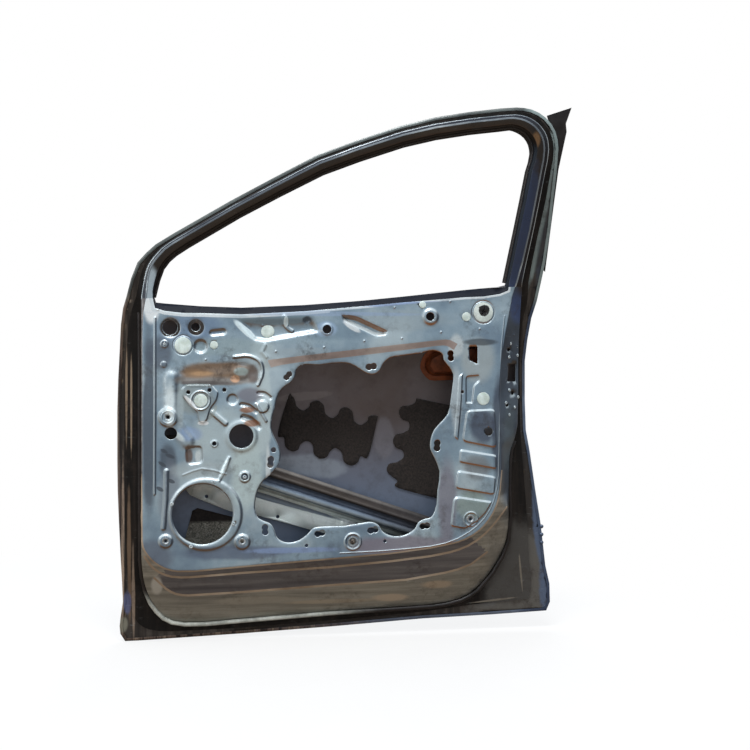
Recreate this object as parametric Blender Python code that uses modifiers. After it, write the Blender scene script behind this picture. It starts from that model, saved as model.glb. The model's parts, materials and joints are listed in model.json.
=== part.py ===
"""Right front car door shell, seen from inside the car: pressed panels, frame, beam, seals and pads.

+X runs to the rear of the car, +Y out of the car, +Z up. The origin is on the upper hinge face.
Plan outlines are points on a square-on picture of the door, 750 pixels wide. place() turns each into
metres, at its own depth behind the trim face.
"""
from math import ceil, cos, pi, radians, sin, tan

import bmesh
import bpy
from mathutils import Matrix, Vector, geometry

# Driving sizes in metres
door_length = 1.022          # hinge wall to the tip of the rear pillar, on the trim plane
door_height = 1.258          # front lower corner to the tip of the rear pillar, on the trim plane
rim_depth = 0.075            # trim face to the sealing ledge at the sill
view_distance = 2.6          # eye to the trim plane
hinge_mount_depth = 0.027    # trim face to the middle of the hinge wall
sheet = 0.0010               # panel steel
gap = 0.0003                 # between pieces that touch
hem_gap = 0.0006             # either side of the inner flange in its hem
hem_width = 0.006            # lip of the hem
wall_draft = 0.0001          # lean of the hinge wall over its height
overrun = 0.004              # how far a cutter passes its wall
bond = 0.0012                # adhesive under a piece that lies on the outer skin

# Outer skin, metres behind the trim face
frame_skin_depth = 0.0415
ledge_to_skin = 0.010        # sealing ledge to the outer skin at the waist
waist_skin_depth = rim_depth + ledge_to_skin
sill_tuck = 0.005
skin_bulge = 0.030
skin_grid = 0.062
belt_fade = 0.32             # height over which the skin runs from the waist to the frame
BELT_FADE_ABOVE_SHARE = 0.3
frame_lean_round = 0.12
FRAME_LEAN = tan(radians(13))

# Relief of the pressed features, metres
shallow_relief = 0.0025
panel_relief = 0.0045
pocket_relief = 0.009
wall_run = 0.0035            # plan width of a pressed wall
BEAD_FLOOR_SHARE = 0.4       # width of a bead's floor, of its full width
ROUND_FLOOR_SHARE = 0.7
frame_return = 0.012         # trim face to the edge of the window opening

# The picture's eye
PICTURE_MIDDLE = 375
FOCAL_PX = 1100
VIEW_YAW = radians(8)
TIP_PX = (571, 108)
FOOT_PX = (125, 641)
HINGE_WALL_PX = 141.2
HINGE_TOP_SHARE = 0.05       # depth of the hinge wall's top edge, as a share of rim_depth
FRAME_LIP_SHARE = 0.83       # depth of the frame's lip, as a share of frame_skin_depth
HINGE_UPPER_PY = 376
HINGE_LOWER_PY = 522
CHECK_STRAP_PY = 447
BELT_PY = 305
SILL_PY = 640
REAR_EDGE_PX = 525

MERGE = 1e-7
SEAM = 1e-6
CORNER_TURN = radians(50)
TURN_STEP = radians(16)
PLACE_ROUNDS = 4

# Frame stations from the front foot round to the rear one: the outer edge, the window edge, then the
# places of the lip, ledge line, face line and return line as shares of the way between the two.
FRAME_STATIONS_PX = (
    ((127.0, 297), (154.4, 297), 0.33, 0.52, 0.70, 0.93),
    ((131.6, 279), (158.6, 280), 0.30, 0.46, 0.60, 0.88),
    ((138.0, 263), (163.0, 268), 0.27, 0.41, 0.54, 0.86),
    ((147.0, 253), (169.0, 260), 0.24, 0.36, 0.50, 0.84),
    ((156.0, 245), (176.0, 254), 0.20, 0.31, 0.45, 0.82),
    ((174.0, 234), (188.0, 246.2), 0.18, 0.28, 0.43, 0.80),
    ((230.0, 202), (240.5, 215.5), 0.18, 0.28, 0.43, 0.80),
    ((273.0, 179), (281.0, 194.2), 0.18, 0.28, 0.43, 0.80),
    ((317.0, 156), (324.3, 172.5), 0.18, 0.28, 0.44, 0.81),
    ((355.0, 142), (361.0, 159.0), 0.18, 0.29, 0.45, 0.82),
    ((400.0, 127), (405.5, 144.5), 0.18, 0.29, 0.47, 0.83),
    ((434.0, 118.5), (438.0, 137.0), 0.18, 0.30, 0.49, 0.84),
    ((469.0, 113), (471.5, 131.8), 0.18, 0.31, 0.50, 0.85),
    ((500.0, 109.5), (501.0, 128.6), 0.18, 0.32, 0.51, 0.85),
    ((516.0, 108.5), (512.5, 127.2), 0.19, 0.33, 0.52, 0.86),
    ((531.0, 110.5), (520.0, 129.6), 0.19, 0.34, 0.53, 0.86),
    ((545.0, 118.5), (527.5, 135.0), 0.19, 0.35, 0.54, 0.86),
    ((554.5, 132), (532.0, 142.5), 0.18, 0.35, 0.54, 0.85),
    ((557.5, 149), (533.5, 152.0), 0.16, 0.36, 0.55, 0.84),
    ((556.0, 170), (529.0, 170.0), 0.19, 0.38, 0.54, 0.87),
    ((552.5, 200), (523.0, 200.0), 0.23, 0.43, 0.57, 0.88),
    ((549.5, 229), (517.0, 229.0), 0.32, 0.48, 0.60, 0.90),
    ((544.5, 262), (510.0, 262.0), 0.36, 0.52, 0.64, 0.90),
    ((540.0, 283), (505.8, 282.0), 0.34, 0.52, 0.68, 0.90),
)
FRAME_LINES = ("lip", "ledge", "face", "return")

# Lower rims, from the rear foot of the frame down, along the sill and up the hinge side. The third
# number is the depth as a share of rim_depth.
SKIN_LOWER_PX = (
    (536.0, 301), (530.5, 318), (526.5, 340), (524.0, 361), (524.0, 400), (525.0, 430), (529.0, 452),
    (534.5, 490), (540.0, 525), (544.5, 565), (549.0, 601), (545.5, 609.5), (490.0, 613.5),
    (422.0, 617.5), (330.0, 625.5), (240.0, 632.5), (138.0, 639.5), (125.5, 640), (121.0, 633),
    (121.0, 618), (123.5, 601), (122.6, 582), (121.4, 560), (119.5, 521), (118.3, 490), (117.9, 461),
    (117.9, 411), (118.8, 380), (120.3, 350), (121.5, 325), (123.5, 309),
)
LIP_LOWER_PX = (
    (527.0, 303, 0.54), (522.5, 320, 0.64), (520.6, 340, 0.74), (519.5, 361, 0.84), (519.5, 400, 0.92),
    (520.5, 432, 0.94), (522.0, 455, 0.94), (524.5, 485, 0.95), (527.0, 520, 0.96), (529.0, 560, 0.98),
    (531.0, 588, 1.0), (528.5, 598.5, 1.0), (470.0, 604.5, 1.0), (422.0, 611.5, 1.0), (330.0, 620, 1.0),
    (240.0, 627.5, 1.0), (170.0, 631, 1.0), (149.0, 629, 1.0), (139.5, 624, 1.0), (133.0, 614, 0.99),
    (129.5, 600, 0.96), (127.5, 578, 0.88), (126.0, 550, 0.78), (125.2, 521, 0.72), (124.5, 490, 0.70),
    (124.3, 461, 0.70), (124.3, 411, 0.70), (124.8, 380, 0.70), (126.5, 350, 0.68), (128.5, 325, 0.62),
    (132.0, 309, 0.55),
)
LEDGE_LOWER_PX = (
    (521.0, 300, 0.28), (519.8, 320, 0.45), (518.6, 340, 0.55), (518.0, 361, 0.60), (518.0, 400, 0.60),
    (517.4, 425, 0.60), (514.0, 440, 0.60), (510.6, 449, 0.60), (509.0, 463, 0.60), (508.5, 490, 0.62),
    (508.6, 515, 0.74), (506.0, 540, 0.84), (500.0, 555, 0.90), (490.0, 571.5, 0.93),
    (475.0, 588.5, 0.93), (460.0, 597.5, 0.93), (445.0, 601.5, 0.93), (430.0, 603.7, 0.93),
    (380.0, 607.0, 0.93), (330.0, 610.5, 0.93), (240.0, 618.0, 0.93), (205.0, 621.2, 0.93),
    (185.0, 621.6, 0.93), (173.0, 619.8, 0.92), (165.0, 616.0, 0.90), (158.5, 610.0, 0.86),
    (152.5, 602.0, 0.78), (147.0, 591.0, 0.60), (143.3, 577.0, 0.34), (141.6, 562.0, 0.12),
    (HINGE_WALL_PX, 548, HINGE_TOP_SHARE), (HINGE_WALL_PX, 500, HINGE_TOP_SHARE),
    (HINGE_WALL_PX, 447, HINGE_TOP_SHARE), (HINGE_WALL_PX, 400, HINGE_TOP_SHARE),
    (HINGE_WALL_PX, 360, HINGE_TOP_SHARE), (HINGE_WALL_PX, 330, HINGE_TOP_SHARE),
    (HINGE_WALL_PX, 312, HINGE_TOP_SHARE),
)
FACE_LOWER_PX = (
    (512.0, 297), (506.0, 330), (500.5, 363), (498.5, 396), (500.0, 420), (501.2, 445), (501.3, 470),
    (499.5, 490), (495.5, 506), (488.5, 519), (479.0, 529.5), (466.0, 538), (450.0, 543),
    (430.0, 547), (391.0, 552.5), (330.0, 558), (240.0, 566), (195.0, 570.3), (178.0, 570.5),
    (166.0, 568), (156.0, 562.5), (148.5, 555), (143.6, 546.5), (142.6, 534), (142.5, 500),
    (142.5, 447), (142.5, 400), (142.5, 360), (142.5, 330), (143.4, 312),
)
SILL_ROUND_PX = (
    (507.0, 507, 0.24), (498.0, 519, 0.20), (485.0, 533.5, 0.18), (468.0, 545.5, 0.18), (450.0, 552, 0.18),
    (430.0, 556, 0.18), (391.0, 561, 0.18), (330.0, 567, 0.18), (240.0, 572.8, 0.18),
    (190.0, 577, 0.18), (172.0, 576.5, 0.18), (160.0, 572.5, 0.17), (150.0, 564.5, 0.14),
    (144.6, 556.5, 0.09),
)
SILL_CREASE_PX = (
    (487.0, 552, 0.42), (471.0, 564, 0.47), (445.0, 572.5, 0.47), (406.0, 579.5, 0.47),
    (330.0, 585, 0.47), (240.0, 592, 0.47), (188.0, 595.2, 0.47), (176.0, 593.8, 0.47),
    (166.0, 588.5, 0.44), (154.5, 578, 0.38),
)
BELT_EDGE_PX = (
    (504.6, 285.5), (498.0, 287.0), (466.0, 290.0), (400.0, 297.0), (360.0, 301.0), (304.0, 305.2),
    (242.0, 307.8), (200.0, 306.3), (165.0, 303.6), (156.0, 302.6),
)
BELT_LINE_PX = (
    (508.3, 290.5), (500.0, 294.0), (466.0, 297.3), (400.0, 302.8), (360.0, 306.6), (304.0, 311.4),
    (242.0, 314.4), (200.0, 313.2), (165.0, 311.0), (155.0, 308.0),
)

# Openings in the trim face: the third number is the depth as a share of panel_relief
MODULE_OPENING_PX = (
    (298, 367.7, 1), (320, 365.2, 1), (342, 363, 1), (350, 364, 1), (360, 369.5, 1), (367.7, 373.8, 1),
    (374, 374.4, 1), (379.5, 371, 1), (384, 363, 1), (390, 358, 1), (400, 356, 1), (418, 353.6, 1),
    (438, 351.5, 0.9), (442.5, 354.5, 0.8), (444, 360.5, 0.7), (449, 367, 0.6), (453, 373.5, 0.5),
    (453, 382, 0.4), (450.4, 401, 0.2), (448, 413.5, 0), (442, 421, 0), (434, 430, 0), (431, 438, 0),
    (430.3, 449, 0), (434, 457, 0), (439.5, 471, 0), (437.4, 490, 0), (434.7, 511, 0),
    (431, 517, 0), (424, 519, 0), (419, 521.6, 0), (414.4, 529, 0), (409, 533, 0), (388, 534.5, 0),
    (382.5, 531, 0), (378, 524.6, 0), (373, 522, 0), (361, 523, 0), (344, 525.8, 0), (321, 526.4, 0),
    (313.5, 527.8, 0), (307.4, 534, 0), (299.7, 539.8, 0), (283, 541.3, 0), (277.7, 538, 0),
    (274.4, 530, 0), (270.5, 523.6, 0), (264, 520.8, 0), (258.2, 517.5, 0), (255.7, 512, 0),
    (255.7, 499, 0), (258, 489.5, 0), (263, 481, 0), (273, 472, 0), (278.5, 464.5, 0), (280.3, 451, 0),
    (274.8, 438, 0), (271.2, 427.4, 0), (272.5, 416, 0), (275.3, 405.4, 0.1), (278.4, 394, 0.3),
    (284, 387, 0.5), (291, 382.3, 0.7), (295.2, 376, 0.9), (296, 370.5, 1),
)
BAND_TOP_PX = ((268, 360), (300, 356), (350, 350.2), (400, 344.4), (436, 340.4), (450, 340), (457.5, 344))
BAND_FOOT_PX = (
    (271, 367.5, 0.6), (282, 364.8, 1), (300, 362.2, 1), (350, 356.8, 1), (400, 350.6, 1),
    (436, 346, 1), (447, 346, 0.8), (453, 349.5, 0.4),
)
KEYHOLES_PX = (
    (286.5, 377.6, 289.4, 374.3), (368.9, 367.2, 373.8, 366.4), (450.3, 353.6, 450.7, 358.4),
    (437.4, 443.0, 437.0, 448.2), (422.6, 526.3, 427.2, 525.6), (370.6, 530.6, 375.4, 529.6),
    (317.6, 534.0, 322.2, 533.0), (265.2, 527.4, 265.4, 532.2), (270.8, 459.6, 270.4, 464.8),
)
KEYHOLE_RADIUS_SHARE = 0.62  # of the distance between a keyhole's two centres
KEYHOLE_TURN = radians(130)  # how far each of its circles runs round, to either side

# Pressed pockets and pads: outline and depth. A negative depth is raised towards the cabin.
POCKETS_PX = {
    "window_lift_recess": (((238, 319), (312, 317.8), (312, 332), (263, 342.5), (255, 340)), pocket_relief),
    "armrest_pocket": (
        ((178.5, 371), (184, 366.5), (205, 363), (248, 360.5), (256.5, 366), (258, 377.5), (251, 384),
         (238, 384.5), (224, 380.5), (183, 380.5)), pocket_relief),
    "handle_pad": (
        ((181.5, 387.5), (196, 384.6), (212, 386), (217.5, 392), (214, 402), (208.5, 419), (201.5, 423.5),
         (196.5, 412.5), (184.5, 400)), -panel_relief),
    "crank_pad": (((185.5, 446.5), (202, 444.5), (203.5, 462.5), (187, 464.5)), panel_relief),
    "latch_rod_recess": (
        ((465.5, 375.5), (479.5, 374.3), (480, 381), (474, 386), (472, 403), (465.5, 403.3)), panel_relief),
    "ladder_field_1": (((466, 411), (495, 409.5), (496.5, 448), (462, 441)), -panel_relief),
    "ladder_field_2": (((459.6, 449), (496.6, 454.8), (496.6, 469.2), (458.6, 462)), -panel_relief),
    "ladder_field_3": (((457, 469.8), (496, 476.3), (494.4, 495), (454.8, 488)), -panel_relief),
    "ladder_field_4": (
        ((453.4, 495.4), (492.5, 501.2), (486, 512.6), (477, 521.5), (465, 529), (450, 526.2)), -panel_relief),
    "cable_recess": (((188, 555.2), (221, 554.2), (222.5, 561), (189, 562)), panel_relief),
}
# Pressed beads: two end points, half width in metres and depth
bead_half_width = 0.006
groove_half_width = 0.0072
bump_half_width = 0.009
slim_bead_half_width = 0.0042
BEADS_PX = (
    ((155.2, 330), (155.2, 494), slim_bead_half_width, -shallow_relief),
    ((166.2, 471), (163.2, 528), bead_half_width, -panel_relief),
    ((350.5, 319.5), (381.5, 332.2), groove_half_width, pocket_relief),
    ((213.0, 332.6), (223.5, 331.6), bump_half_width, -panel_relief),
    ((218.5, 412.5), (227.0, 423.0), slim_bead_half_width, -shallow_relief),
    ((245.0, 405.0), (258.0, 413.5), slim_bead_half_width, -shallow_relief),
    ((243.5, 417.0), (253.0, 421.5), slim_bead_half_width, shallow_relief),
    ((287.0, 345.0), (326.0, 340.0), slim_bead_half_width, -shallow_relief),
)
# Round dimples and bosses: centre, radius in metres and depth
boss_radius = 0.017
dimple_radius = 0.014
armrest_pad_radius = 0.0168
front_boss_radius = 0.0204
ring_radius = 0.0205
ROUNDS_PX = (
    ((200.6, 346.4), dimple_radius, panel_relief),
    ((241.2, 373.4), armrest_pad_radius, -shallow_relief),
    ((232.5, 399.5), dimple_radius, panel_relief),
    ((430.3, 316.8), ring_radius, -panel_relief),
    ((242.2, 541.6), boss_radius, -panel_relief),
    ((165.6, 541.0), boss_radius, -panel_relief),
    ((168.0, 417.1), front_boss_radius, -panel_relief),
)
# Plain holes: centre, radius in metres and the depth they are cut at
HOLES_PX = (
    ((170.0, 327.6), 0.0172, 0), ((195.6, 327.0), 0.0100, 0), ((327.0, 329.4), 0.0103, 0),
    ((241.4, 436.2), 0.0278, 0), ((171.0, 433.4), 0.0140, 0), ((164.4, 344.0), 0.0040, 0),
    ((214.4, 443.7), 0.0050, 0), ((244.7, 476.7), 0.0080, 0),
    ((224.4, 390.0), 0.0045, 0), ((273.6, 450.0), 0.0058, 0), ((430.3, 316.8), 0.0100, -panel_relief),
    ((188.4, 392.4), 0.0045, -panel_relief), ((209.6, 390.2), 0.0045, -panel_relief),
    ((462.3, 392.0), 0.0040, 0), ((306.6, 545.5), 0.0038, 0), ((385.0, 541.0), 0.0038, 0),
)
LATCH_SLOT_PX = ((469.0, 346.5), (477.6, 346.5), (477.6, 364.0), (469.6, 360.5))
SPEAKER_PX = (202.5, 514.2)
speaker_radius = 0.0695
speaker_ring_radius = 0.0875
speaker_ring_wall = 0.0035
speaker_ring_shift = 0.007     # ring's middle to the rear of the speaker's
speaker_screw_radius = 0.0034
speaker_screw_reach = 0.0770   # speaker's middle to its screws
SPEAKER_SCREW_TURNS = (radians(71), radians(250), radians(343))
LATCH_NOTCH_PX = ((508.3, 364.6), (515.6, 363.4), (515.6, 381.6), (507.2, 381.6))
LATCH_BOLTS_PX = ((508.5, 350.0), (512.4, 393.0), (507.0, 405.0))
LATCH_BOLT_RADIUS_PX = 1.9
# The sloping latch face: its trim edge above and below the bend, its far edge and its depth there
LATCH_BEND = (500.5, 363)
LATCH_EDGE_SLOPE_SHARE = 0.16
LATCH_LOWER_EDGE_PX = 499.0
LATCH_FAR_EDGE_PX = 518.2
LATCH_DEPTH_SHARE = 0.60     # of rim_depth

# Blanking plugs: centre and cap radius, and the depth of the face they close
PLUGS_PX = {
    "plug_front_large": ((183.0, 345.3), 0.0193, 0),
    "plug_front_small": ((214.0, 345.0), 0.0094, 0),
    "plug_recess": ((267.7, 331.5), 0.0155, pocket_relief),
    "plug_handle_pad": ((200.8, 400.4), 0.0153, -panel_relief),
    "plug_belt": ((422.5, 304.8), 0.0085, 0),
    "plug_rear_small": ((466.3, 316.8), 0.0108, 0),
    "plug_rear_torn": ((483.2, 312.3), 0.0240, 0),
    "plug_latch": ((483.2, 398.6), 0.0155, 0),
}
# Threaded inserts: centre and flange radius, and the depth of the face they sit on
INSERTS_PX = {
    "insert_front": ((168.0, 417.1), 0.0085, -panel_relief),
    "insert_front_lower": ((165.6, 541.0), 0.0085, -panel_relief),
    "insert_speaker": ((242.2, 541.6), 0.0085, -panel_relief),
    "insert_rear_lower": ((470.4, 518.8), 0.0100, -panel_relief),
    "insert_sill": ((352.8, 541.4), 0.0120, 0),
}
TRIM_CLIP_PX = ((488.5, 431.2), 0.0100, -panel_relief)

# Sheet pads on the inside of the outer skin
PAD_FRONT_PX = (
    (288.5, 396.5), (292.0, 396.0), (295.0, 400.0), (296.5, 406.0), (303.0, 410.5), (309.0, 407.0),
    (311.0, 402.5), (317.5, 400.5), (323.5, 405.0), (325.5, 413.5), (332.0, 418.0), (338.0, 414.0), (340.5, 409.0),
    (346.5, 407.3), (352.5, 412.0), (354.0, 420.5), (360.5, 425.0), (367.0, 421.0), (369.0, 416.5),
    (374.0, 415.3), (378.0, 416.3), (368.5, 455.5), (361.0, 456.0), (357.5, 462.5), (351.0, 465.5),
    (344.0, 461.5), (341.5, 452.0), (335.0, 448.0), (330.0, 451.5), (326.5, 457.0), (320.0, 458.5),
    (314.0, 453.5), (312.5, 444.5), (306.5, 441.0), (300.5, 444.5), (298.0, 449.5), (292.0, 451.2),
    (285.5, 446.5), (284.0, 437.5), (278.0, 433.5),
)
PAD_REAR_PX = (
    (416.5, 398.3), (449.0, 405.0), (449.0, 410.0), (440.0, 499.0), (397.5, 487.5), (397.5, 481.0),
    (392.0, 476.5), (387.0, 471.0), (389.0, 464.0), (397.0, 462.0), (403.5, 457.0), (402.5, 450.5), (396.0, 447.5),
    (393.0, 441.0), (396.0, 434.5), (403.0, 433.0), (409.0, 428.5), (408.5, 422.0), (402.5, 419.5),
    (399.0, 413.0), (401.5, 406.5), (408.5, 405.5), (414.5, 403.0),
)
PAD_LOWER_PX = ((193.5, 507), (262.0, 524), (253.5, 562), (183.5, 545))
pad_thickness = 0.0025
handle_cup_depth = 0.026
HANDLE_CUP_PX = (
    (428.0, 357), (442.0, 350), (486.0, 344), (497.0, 351), (497.0, 366), (488.0, 373), (431.0, 375.5),
    (424.5, 367),
)
cup_wall_run = 0.010
cup_rim = 0.008
cup_clearance = 0.0015       # cup's wall to the bracket round it
CUP_SLOT_FRONT_PX = ((436.0, 358), (446.0, 357), (446.0, 366), (436.5, 367))
CUP_SLOT_REAR_PX = ((478.0, 352), (489.0, 351), (489.0, 362), (478.5, 363))

# Rear pillar cover
PILLAR_COVER_PX = (
    (547.0, 116), (571.5, 108), (565.8, 124), (566.6, 132), (558.4, 170), (550.6, 229), (545.0, 272),
    (541.0, 268), (546.0, 232), (553.0, 175), (554.0, 150), (551.5, 132),
)
pillar_cover_thickness = 0.003

# Pieces inside the door
beam_half_height = 0.034
beam_sheet = 0.0016
beam_to_skin = 0.007         # back of the beam to the depth of the outer skin at the waist
beam_depth = waist_skin_depth - beam_to_skin
beam_rise = 0.022
BEAM_FRONT_PX = (176, 449)
BEAM_REAR_PX = (456, 540)
# Across the beam, as shares of its half height, and its rise as a share of beam_rise
BEAM_SECTION_SHARES = (
    (-1.0, 0.0), (-0.72, 0.0), (-0.56, 1.0), (-0.26, 1.0), (-0.12, 0.45), (0.12, 0.45), (0.26, 1.0),
    (0.56, 1.0), (0.72, 0.0), (1.0, 0.0),
)
bracket_sheet = 0.0018
beam_end_run = 0.05          # length over which the beam flattens at each end
BEAM_END_SHARE = 0.3
reinforcement_sheet = 0.0018
reinforcement_leg = 0.0245
reinforcement_bend = 0.005
wall_leg_depth = 0.047       # how deep the pieces on the hinge wall reach
REINFORCEMENT_TOP_PY = 348
REINFORCEMENT_FOOT_PY = 538
tapping_plate = (0.006, 0.030, 0.070)
check_plate = (0.002, 0.034, 0.058)
check_slot = (0.020, 0.034)
hinge_bolt_spread = 0.036
hinge_bolt_radius = 0.0045
BRACKET_FRONT_PX = (205, 449)
BRACKET_REAR_PX = (432, 449, 461.8)
BRACKET_REAR_PY = (531, 541)
BRACKET_HALF_PY = 12
latch_stand_off = 0.0040     # along the depth, latch face to the plate behind it
LATCH_PLATE_PX = (
    (508.5, 342), (512, 342), (516.8, 342), (516.8, 363), (516.8, 388), (516.8, 412), (509.5, 412),
    (503.5, 412), (503, 396), (503, 380), (503.6, 363), (505.2, 352),
)
MIRROR_PLATE_PX = ((158.5, 316.5), (206, 317.5), (206, 335.5), (158.5, 336))
MIRROR_HOLES_PX = (((170.0, 327.6), 0.0182), ((195.6, 327.0), 0.0110))
handle_bracket_rim = 0.013
RAIL_INNER_PX = (
    (214, 317.6), (242, 318.0), (304, 315.0), (360, 310.6), (400, 306.9), (466, 301.3), (492, 298.2),
)
RAIL_OUTER_PX = (
    (168, 307.0), (200, 309.6), (242, 311.2), (304, 308.6), (360, 304.4), (400, 300.4), (466, 293.6),
    (494, 291.0),
)
rail_sheet = 0.0012
# Across a rail, downwards from its upper edge, and the depth from its seat
RAIL_INNER_SECTION = ((0.0, 0.010), (0.0, 0.0), (0.015, 0.0), (0.015, 0.010))
RAIL_OUTER_SECTION = ((0.0, 0.0), (0.006, 0.0), (0.009, -0.008), (0.019, -0.008), (0.022, 0.0), (0.028, 0.0))
TEAR_SHARES = (
    (0.42, 0), (0.13, 40), (0.55, 75), (0.12, 120), (0.38, 150), (0.14, 195), (0.5, 235), (0.12, 300),
)

seal_radius = 0.0055
seal_float = 0.0012          # door seal to the panel it lies on
DOOR_SEAL_TOP_PY = 438
frame_seal_radius = 0.0024
run_back = 0.010             # how far the glass run reaches behind the window edge
run_lip = 0.0022             # how far its lips stand out of the edge
run_wall = 0.003
cap_thickness = 0.0014
PLUG_HOLE_SHARE = 0.8        # hole radius of a plug, of its cap's
CAP_CROWN_SHARE = 0.4        # rise of a cap's middle, of its thickness
CAP_SHARES = ((0.0, 1.0), (0.6, 0.7), (0.93, 0.0))   # radius and rise, of the cap's
CAP_EDGE_SHARE = 0.4
FLANGE_TOP_SHARE = 0.92
FLANGE_EDGE_SHARE = 0.6
HOLE_SIDES = 14
SMALL_HOLE_SIDES = 8
SCREW_HOLE_SIDES = 6
SPEAKER_SIDES = 28
MIRROR_HOLE_SIDES = 16
CORNER_SHARE = 0.28          # of a corner's shorter side, rounded off
CUP_CORNER_SHARE = 0.3
CUP_SLOT_CORNER_SHARE = 0.2
LATCH_CORNER_SHARE = 0.15
PAD_CORNER_SHARE = 0.1
skirt_depth = 0.0065
skirt_wall = 0.0012
insert_depth = 0.010
insert_flange = 0.0010
insert_bore_share = 0.42
insert_barrel_share = 0.66


def ray(px, py, behind):
    """Where the picture's line of sight through a pixel meets the plane `behind` the trim face."""
    across = (px - PICTURE_MIDDLE) / FOCAL_PX
    drop = (py - PICTURE_MIDDLE) / FOCAL_PX
    reach = (view_distance * cos(VIEW_YAW) + behind) / (cos(VIEW_YAW) - across * sin(VIEW_YAW))
    x = reach * (sin(VIEW_YAW) + across * cos(VIEW_YAW)) - view_distance * sin(VIEW_YAW)
    return x, -reach * drop


hinge_top_depth = HINGE_TOP_SHARE * rim_depth
hinge_x = ray(HINGE_WALL_PX, HINGE_UPPER_PY, hinge_top_depth)[0]
hinge_z = ray(HINGE_WALL_PX, HINGE_UPPER_PY, hinge_top_depth)[1]
length_scale = door_length / (ray(*TIP_PX, 0)[0] - ray(HINGE_WALL_PX, HINGE_UPPER_PY, 0)[0])
height_scale = door_height / (ray(*TIP_PX, 0)[1] - ray(*FOOT_PX, 0)[1])
belt_z = (ray(HINGE_WALL_PX, BELT_PY, 0)[1] - hinge_z) * height_scale
sill_z = (ray(HINGE_WALL_PX, SILL_PY, rim_depth)[1] - hinge_z) * height_scale
rear_x = (ray(REAR_EDGE_PX, HINGE_UPPER_PY, waist_skin_depth)[0] - hinge_x) * length_scale


def lean(z):
    """How far the leaning window frame stands inboard at height z."""
    rise = z - belt_z
    if rise <= 0:
        return 0.0
    if rise < frame_lean_round:
        return -FRAME_LEAN * rise * rise / (2 * frame_lean_round)
    return -FRAME_LEAN * (rise - frame_lean_round / 2)


def skin_rim(x, z):
    """Depth of the outer skin along its hem, before the frame's lean."""
    share = min(max((belt_fade * BELT_FADE_ABOVE_SHARE - (z - belt_z)) / belt_fade, 0.0), 1.0)
    share = share * share * (3 - 2 * share)
    below = min(max((belt_z - z) / (belt_z - sill_z), 0.0), 1.0)
    return frame_skin_depth + (waist_skin_depth - frame_skin_depth) * share - sill_tuck * below * below


def skin_depth(x, z):
    """Depth of the inside of the outer skin: its rim and the bulge between the edges."""
    along = min(max(x / rear_x, 0.0), 1.0)
    down = min(max((belt_z - z) / (belt_z - sill_z), 0.0), 1.0)
    return skin_rim(x, z) + skin_bulge * 4 * along * (1 - along) * 4 * down * (1 - down)


def place(px, py, depth=0.0):
    """The point in metres that the picture shows at a pixel, `depth` behind the trim face."""
    x = z = 0.0
    for _ in range(PLACE_ROUNDS):
        behind = (depth(x, z) if callable(depth) else depth) + lean(z)
        ray_x, ray_z = ray(px, py, behind)
        x, z = (ray_x - hinge_x) * length_scale, (ray_z - hinge_z) * height_scale
    return Vector((x, behind - hinge_mount_depth, z))


def at_depth(point, depth):
    """The same plan place at another depth behind the trim face."""
    return Vector((point.x, depth + lean(point.z) - hinge_mount_depth, point.z))


def smooth(points, closed=True, most=5):
    """A curve through the points, with a break wherever the outline turns sharply."""
    points = [Vector(p) for p in points]
    count = len(points)
    spans = count if closed else count - 1

    def direction(i):
        before, here, after = points[(i - 1) % count], points[i % count], points[(i + 1) % count]
        if not closed and i % count in (0, count - 1):
            return None
        arrive, leave = here - before, after - here
        if arrive.xy.angle(leave.xy) > CORNER_TURN:
            return None
        return arrive.normalized() * leave.length + leave.normalized() * arrive.length

    result = []
    for i in range(spans):
        start, end = points[i], points[(i + 1) % count]
        chord = end - start
        away, home = direction(i), direction(i + 1)
        away = away.normalized() * chord.length if away else chord
        home = home.normalized() * chord.length if home else chord
        turn = away.xy.angle(chord.xy) + home.xy.angle(chord.xy)
        pieces = min(max(ceil(turn / TURN_STEP), 1), most)
        for k in range(pieces):
            t = k / pieces
            result.append(
                start * (2 * t**3 - 3 * t**2 + 1) + away * (t**3 - 2 * t**2 + t)
                + end * (-2 * t**3 + 3 * t**2) + home * (t**3 - t**2)
            )
    if not closed:
        result.append(points[-1])
    return result


def rounded(corners, share=CORNER_SHARE, steps=2):
    """A closed outline with each corner cut round by a share of its shorter side."""
    corners = [Vector(c) for c in corners]
    result = []
    for i, corner in enumerate(corners):
        before, after = corners[i - 1] - corner, corners[(i + 1) % len(corners)] - corner
        cut = share * min(before.length, after.length)
        first, last = corner + before.normalized() * cut, corner + after.normalized() * cut
        for k in range(steps + 1):
            t = k / steps
            result.append(first * (1 - t) ** 2 + corner * 2 * t * (1 - t) + last * t * t)
    return result


def plan_area(points):
    area = 0.0
    for i, p in enumerate(points):
        q = points[(i + 1) % len(points)]
        area += p.x * q.z - q.x * p.z
    return area / 2


def inset(points, distance):
    """A closed outline moved inwards in plan; a negative distance moves it outwards."""
    side = 1 if plan_area(points) > 0 else -1
    result = []
    for i, here in enumerate(points):
        before, after = points[i - 1], points[(i + 1) % len(points)]
        arrive = Vector((here.x - before.x, here.z - before.z)).normalized()
        leave = Vector((after.x - here.x, after.z - here.z)).normalized()
        normal = Vector((-(arrive.y + leave.y), arrive.x + leave.x))
        if normal.length < MERGE:
            normal = Vector((-arrive.y, arrive.x))
        normal.normalize()
        miter = max(normal.dot(Vector((-arrive.y, arrive.x))), 0.5)
        shift = normal * side * distance / miter
        result.append(Vector((here.x + shift.x, here.y, here.z + shift.y)))
    return result


def inside(x, z, outline):
    odd = False
    for i, a in enumerate(outline):
        b = outline[i - 1]
        if (a.z > z) != (b.z > z) and x < (b.x - a.x) * (z - a.z) / (b.z - a.z) + a.x:
            odd = not odd
    return odd


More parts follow.
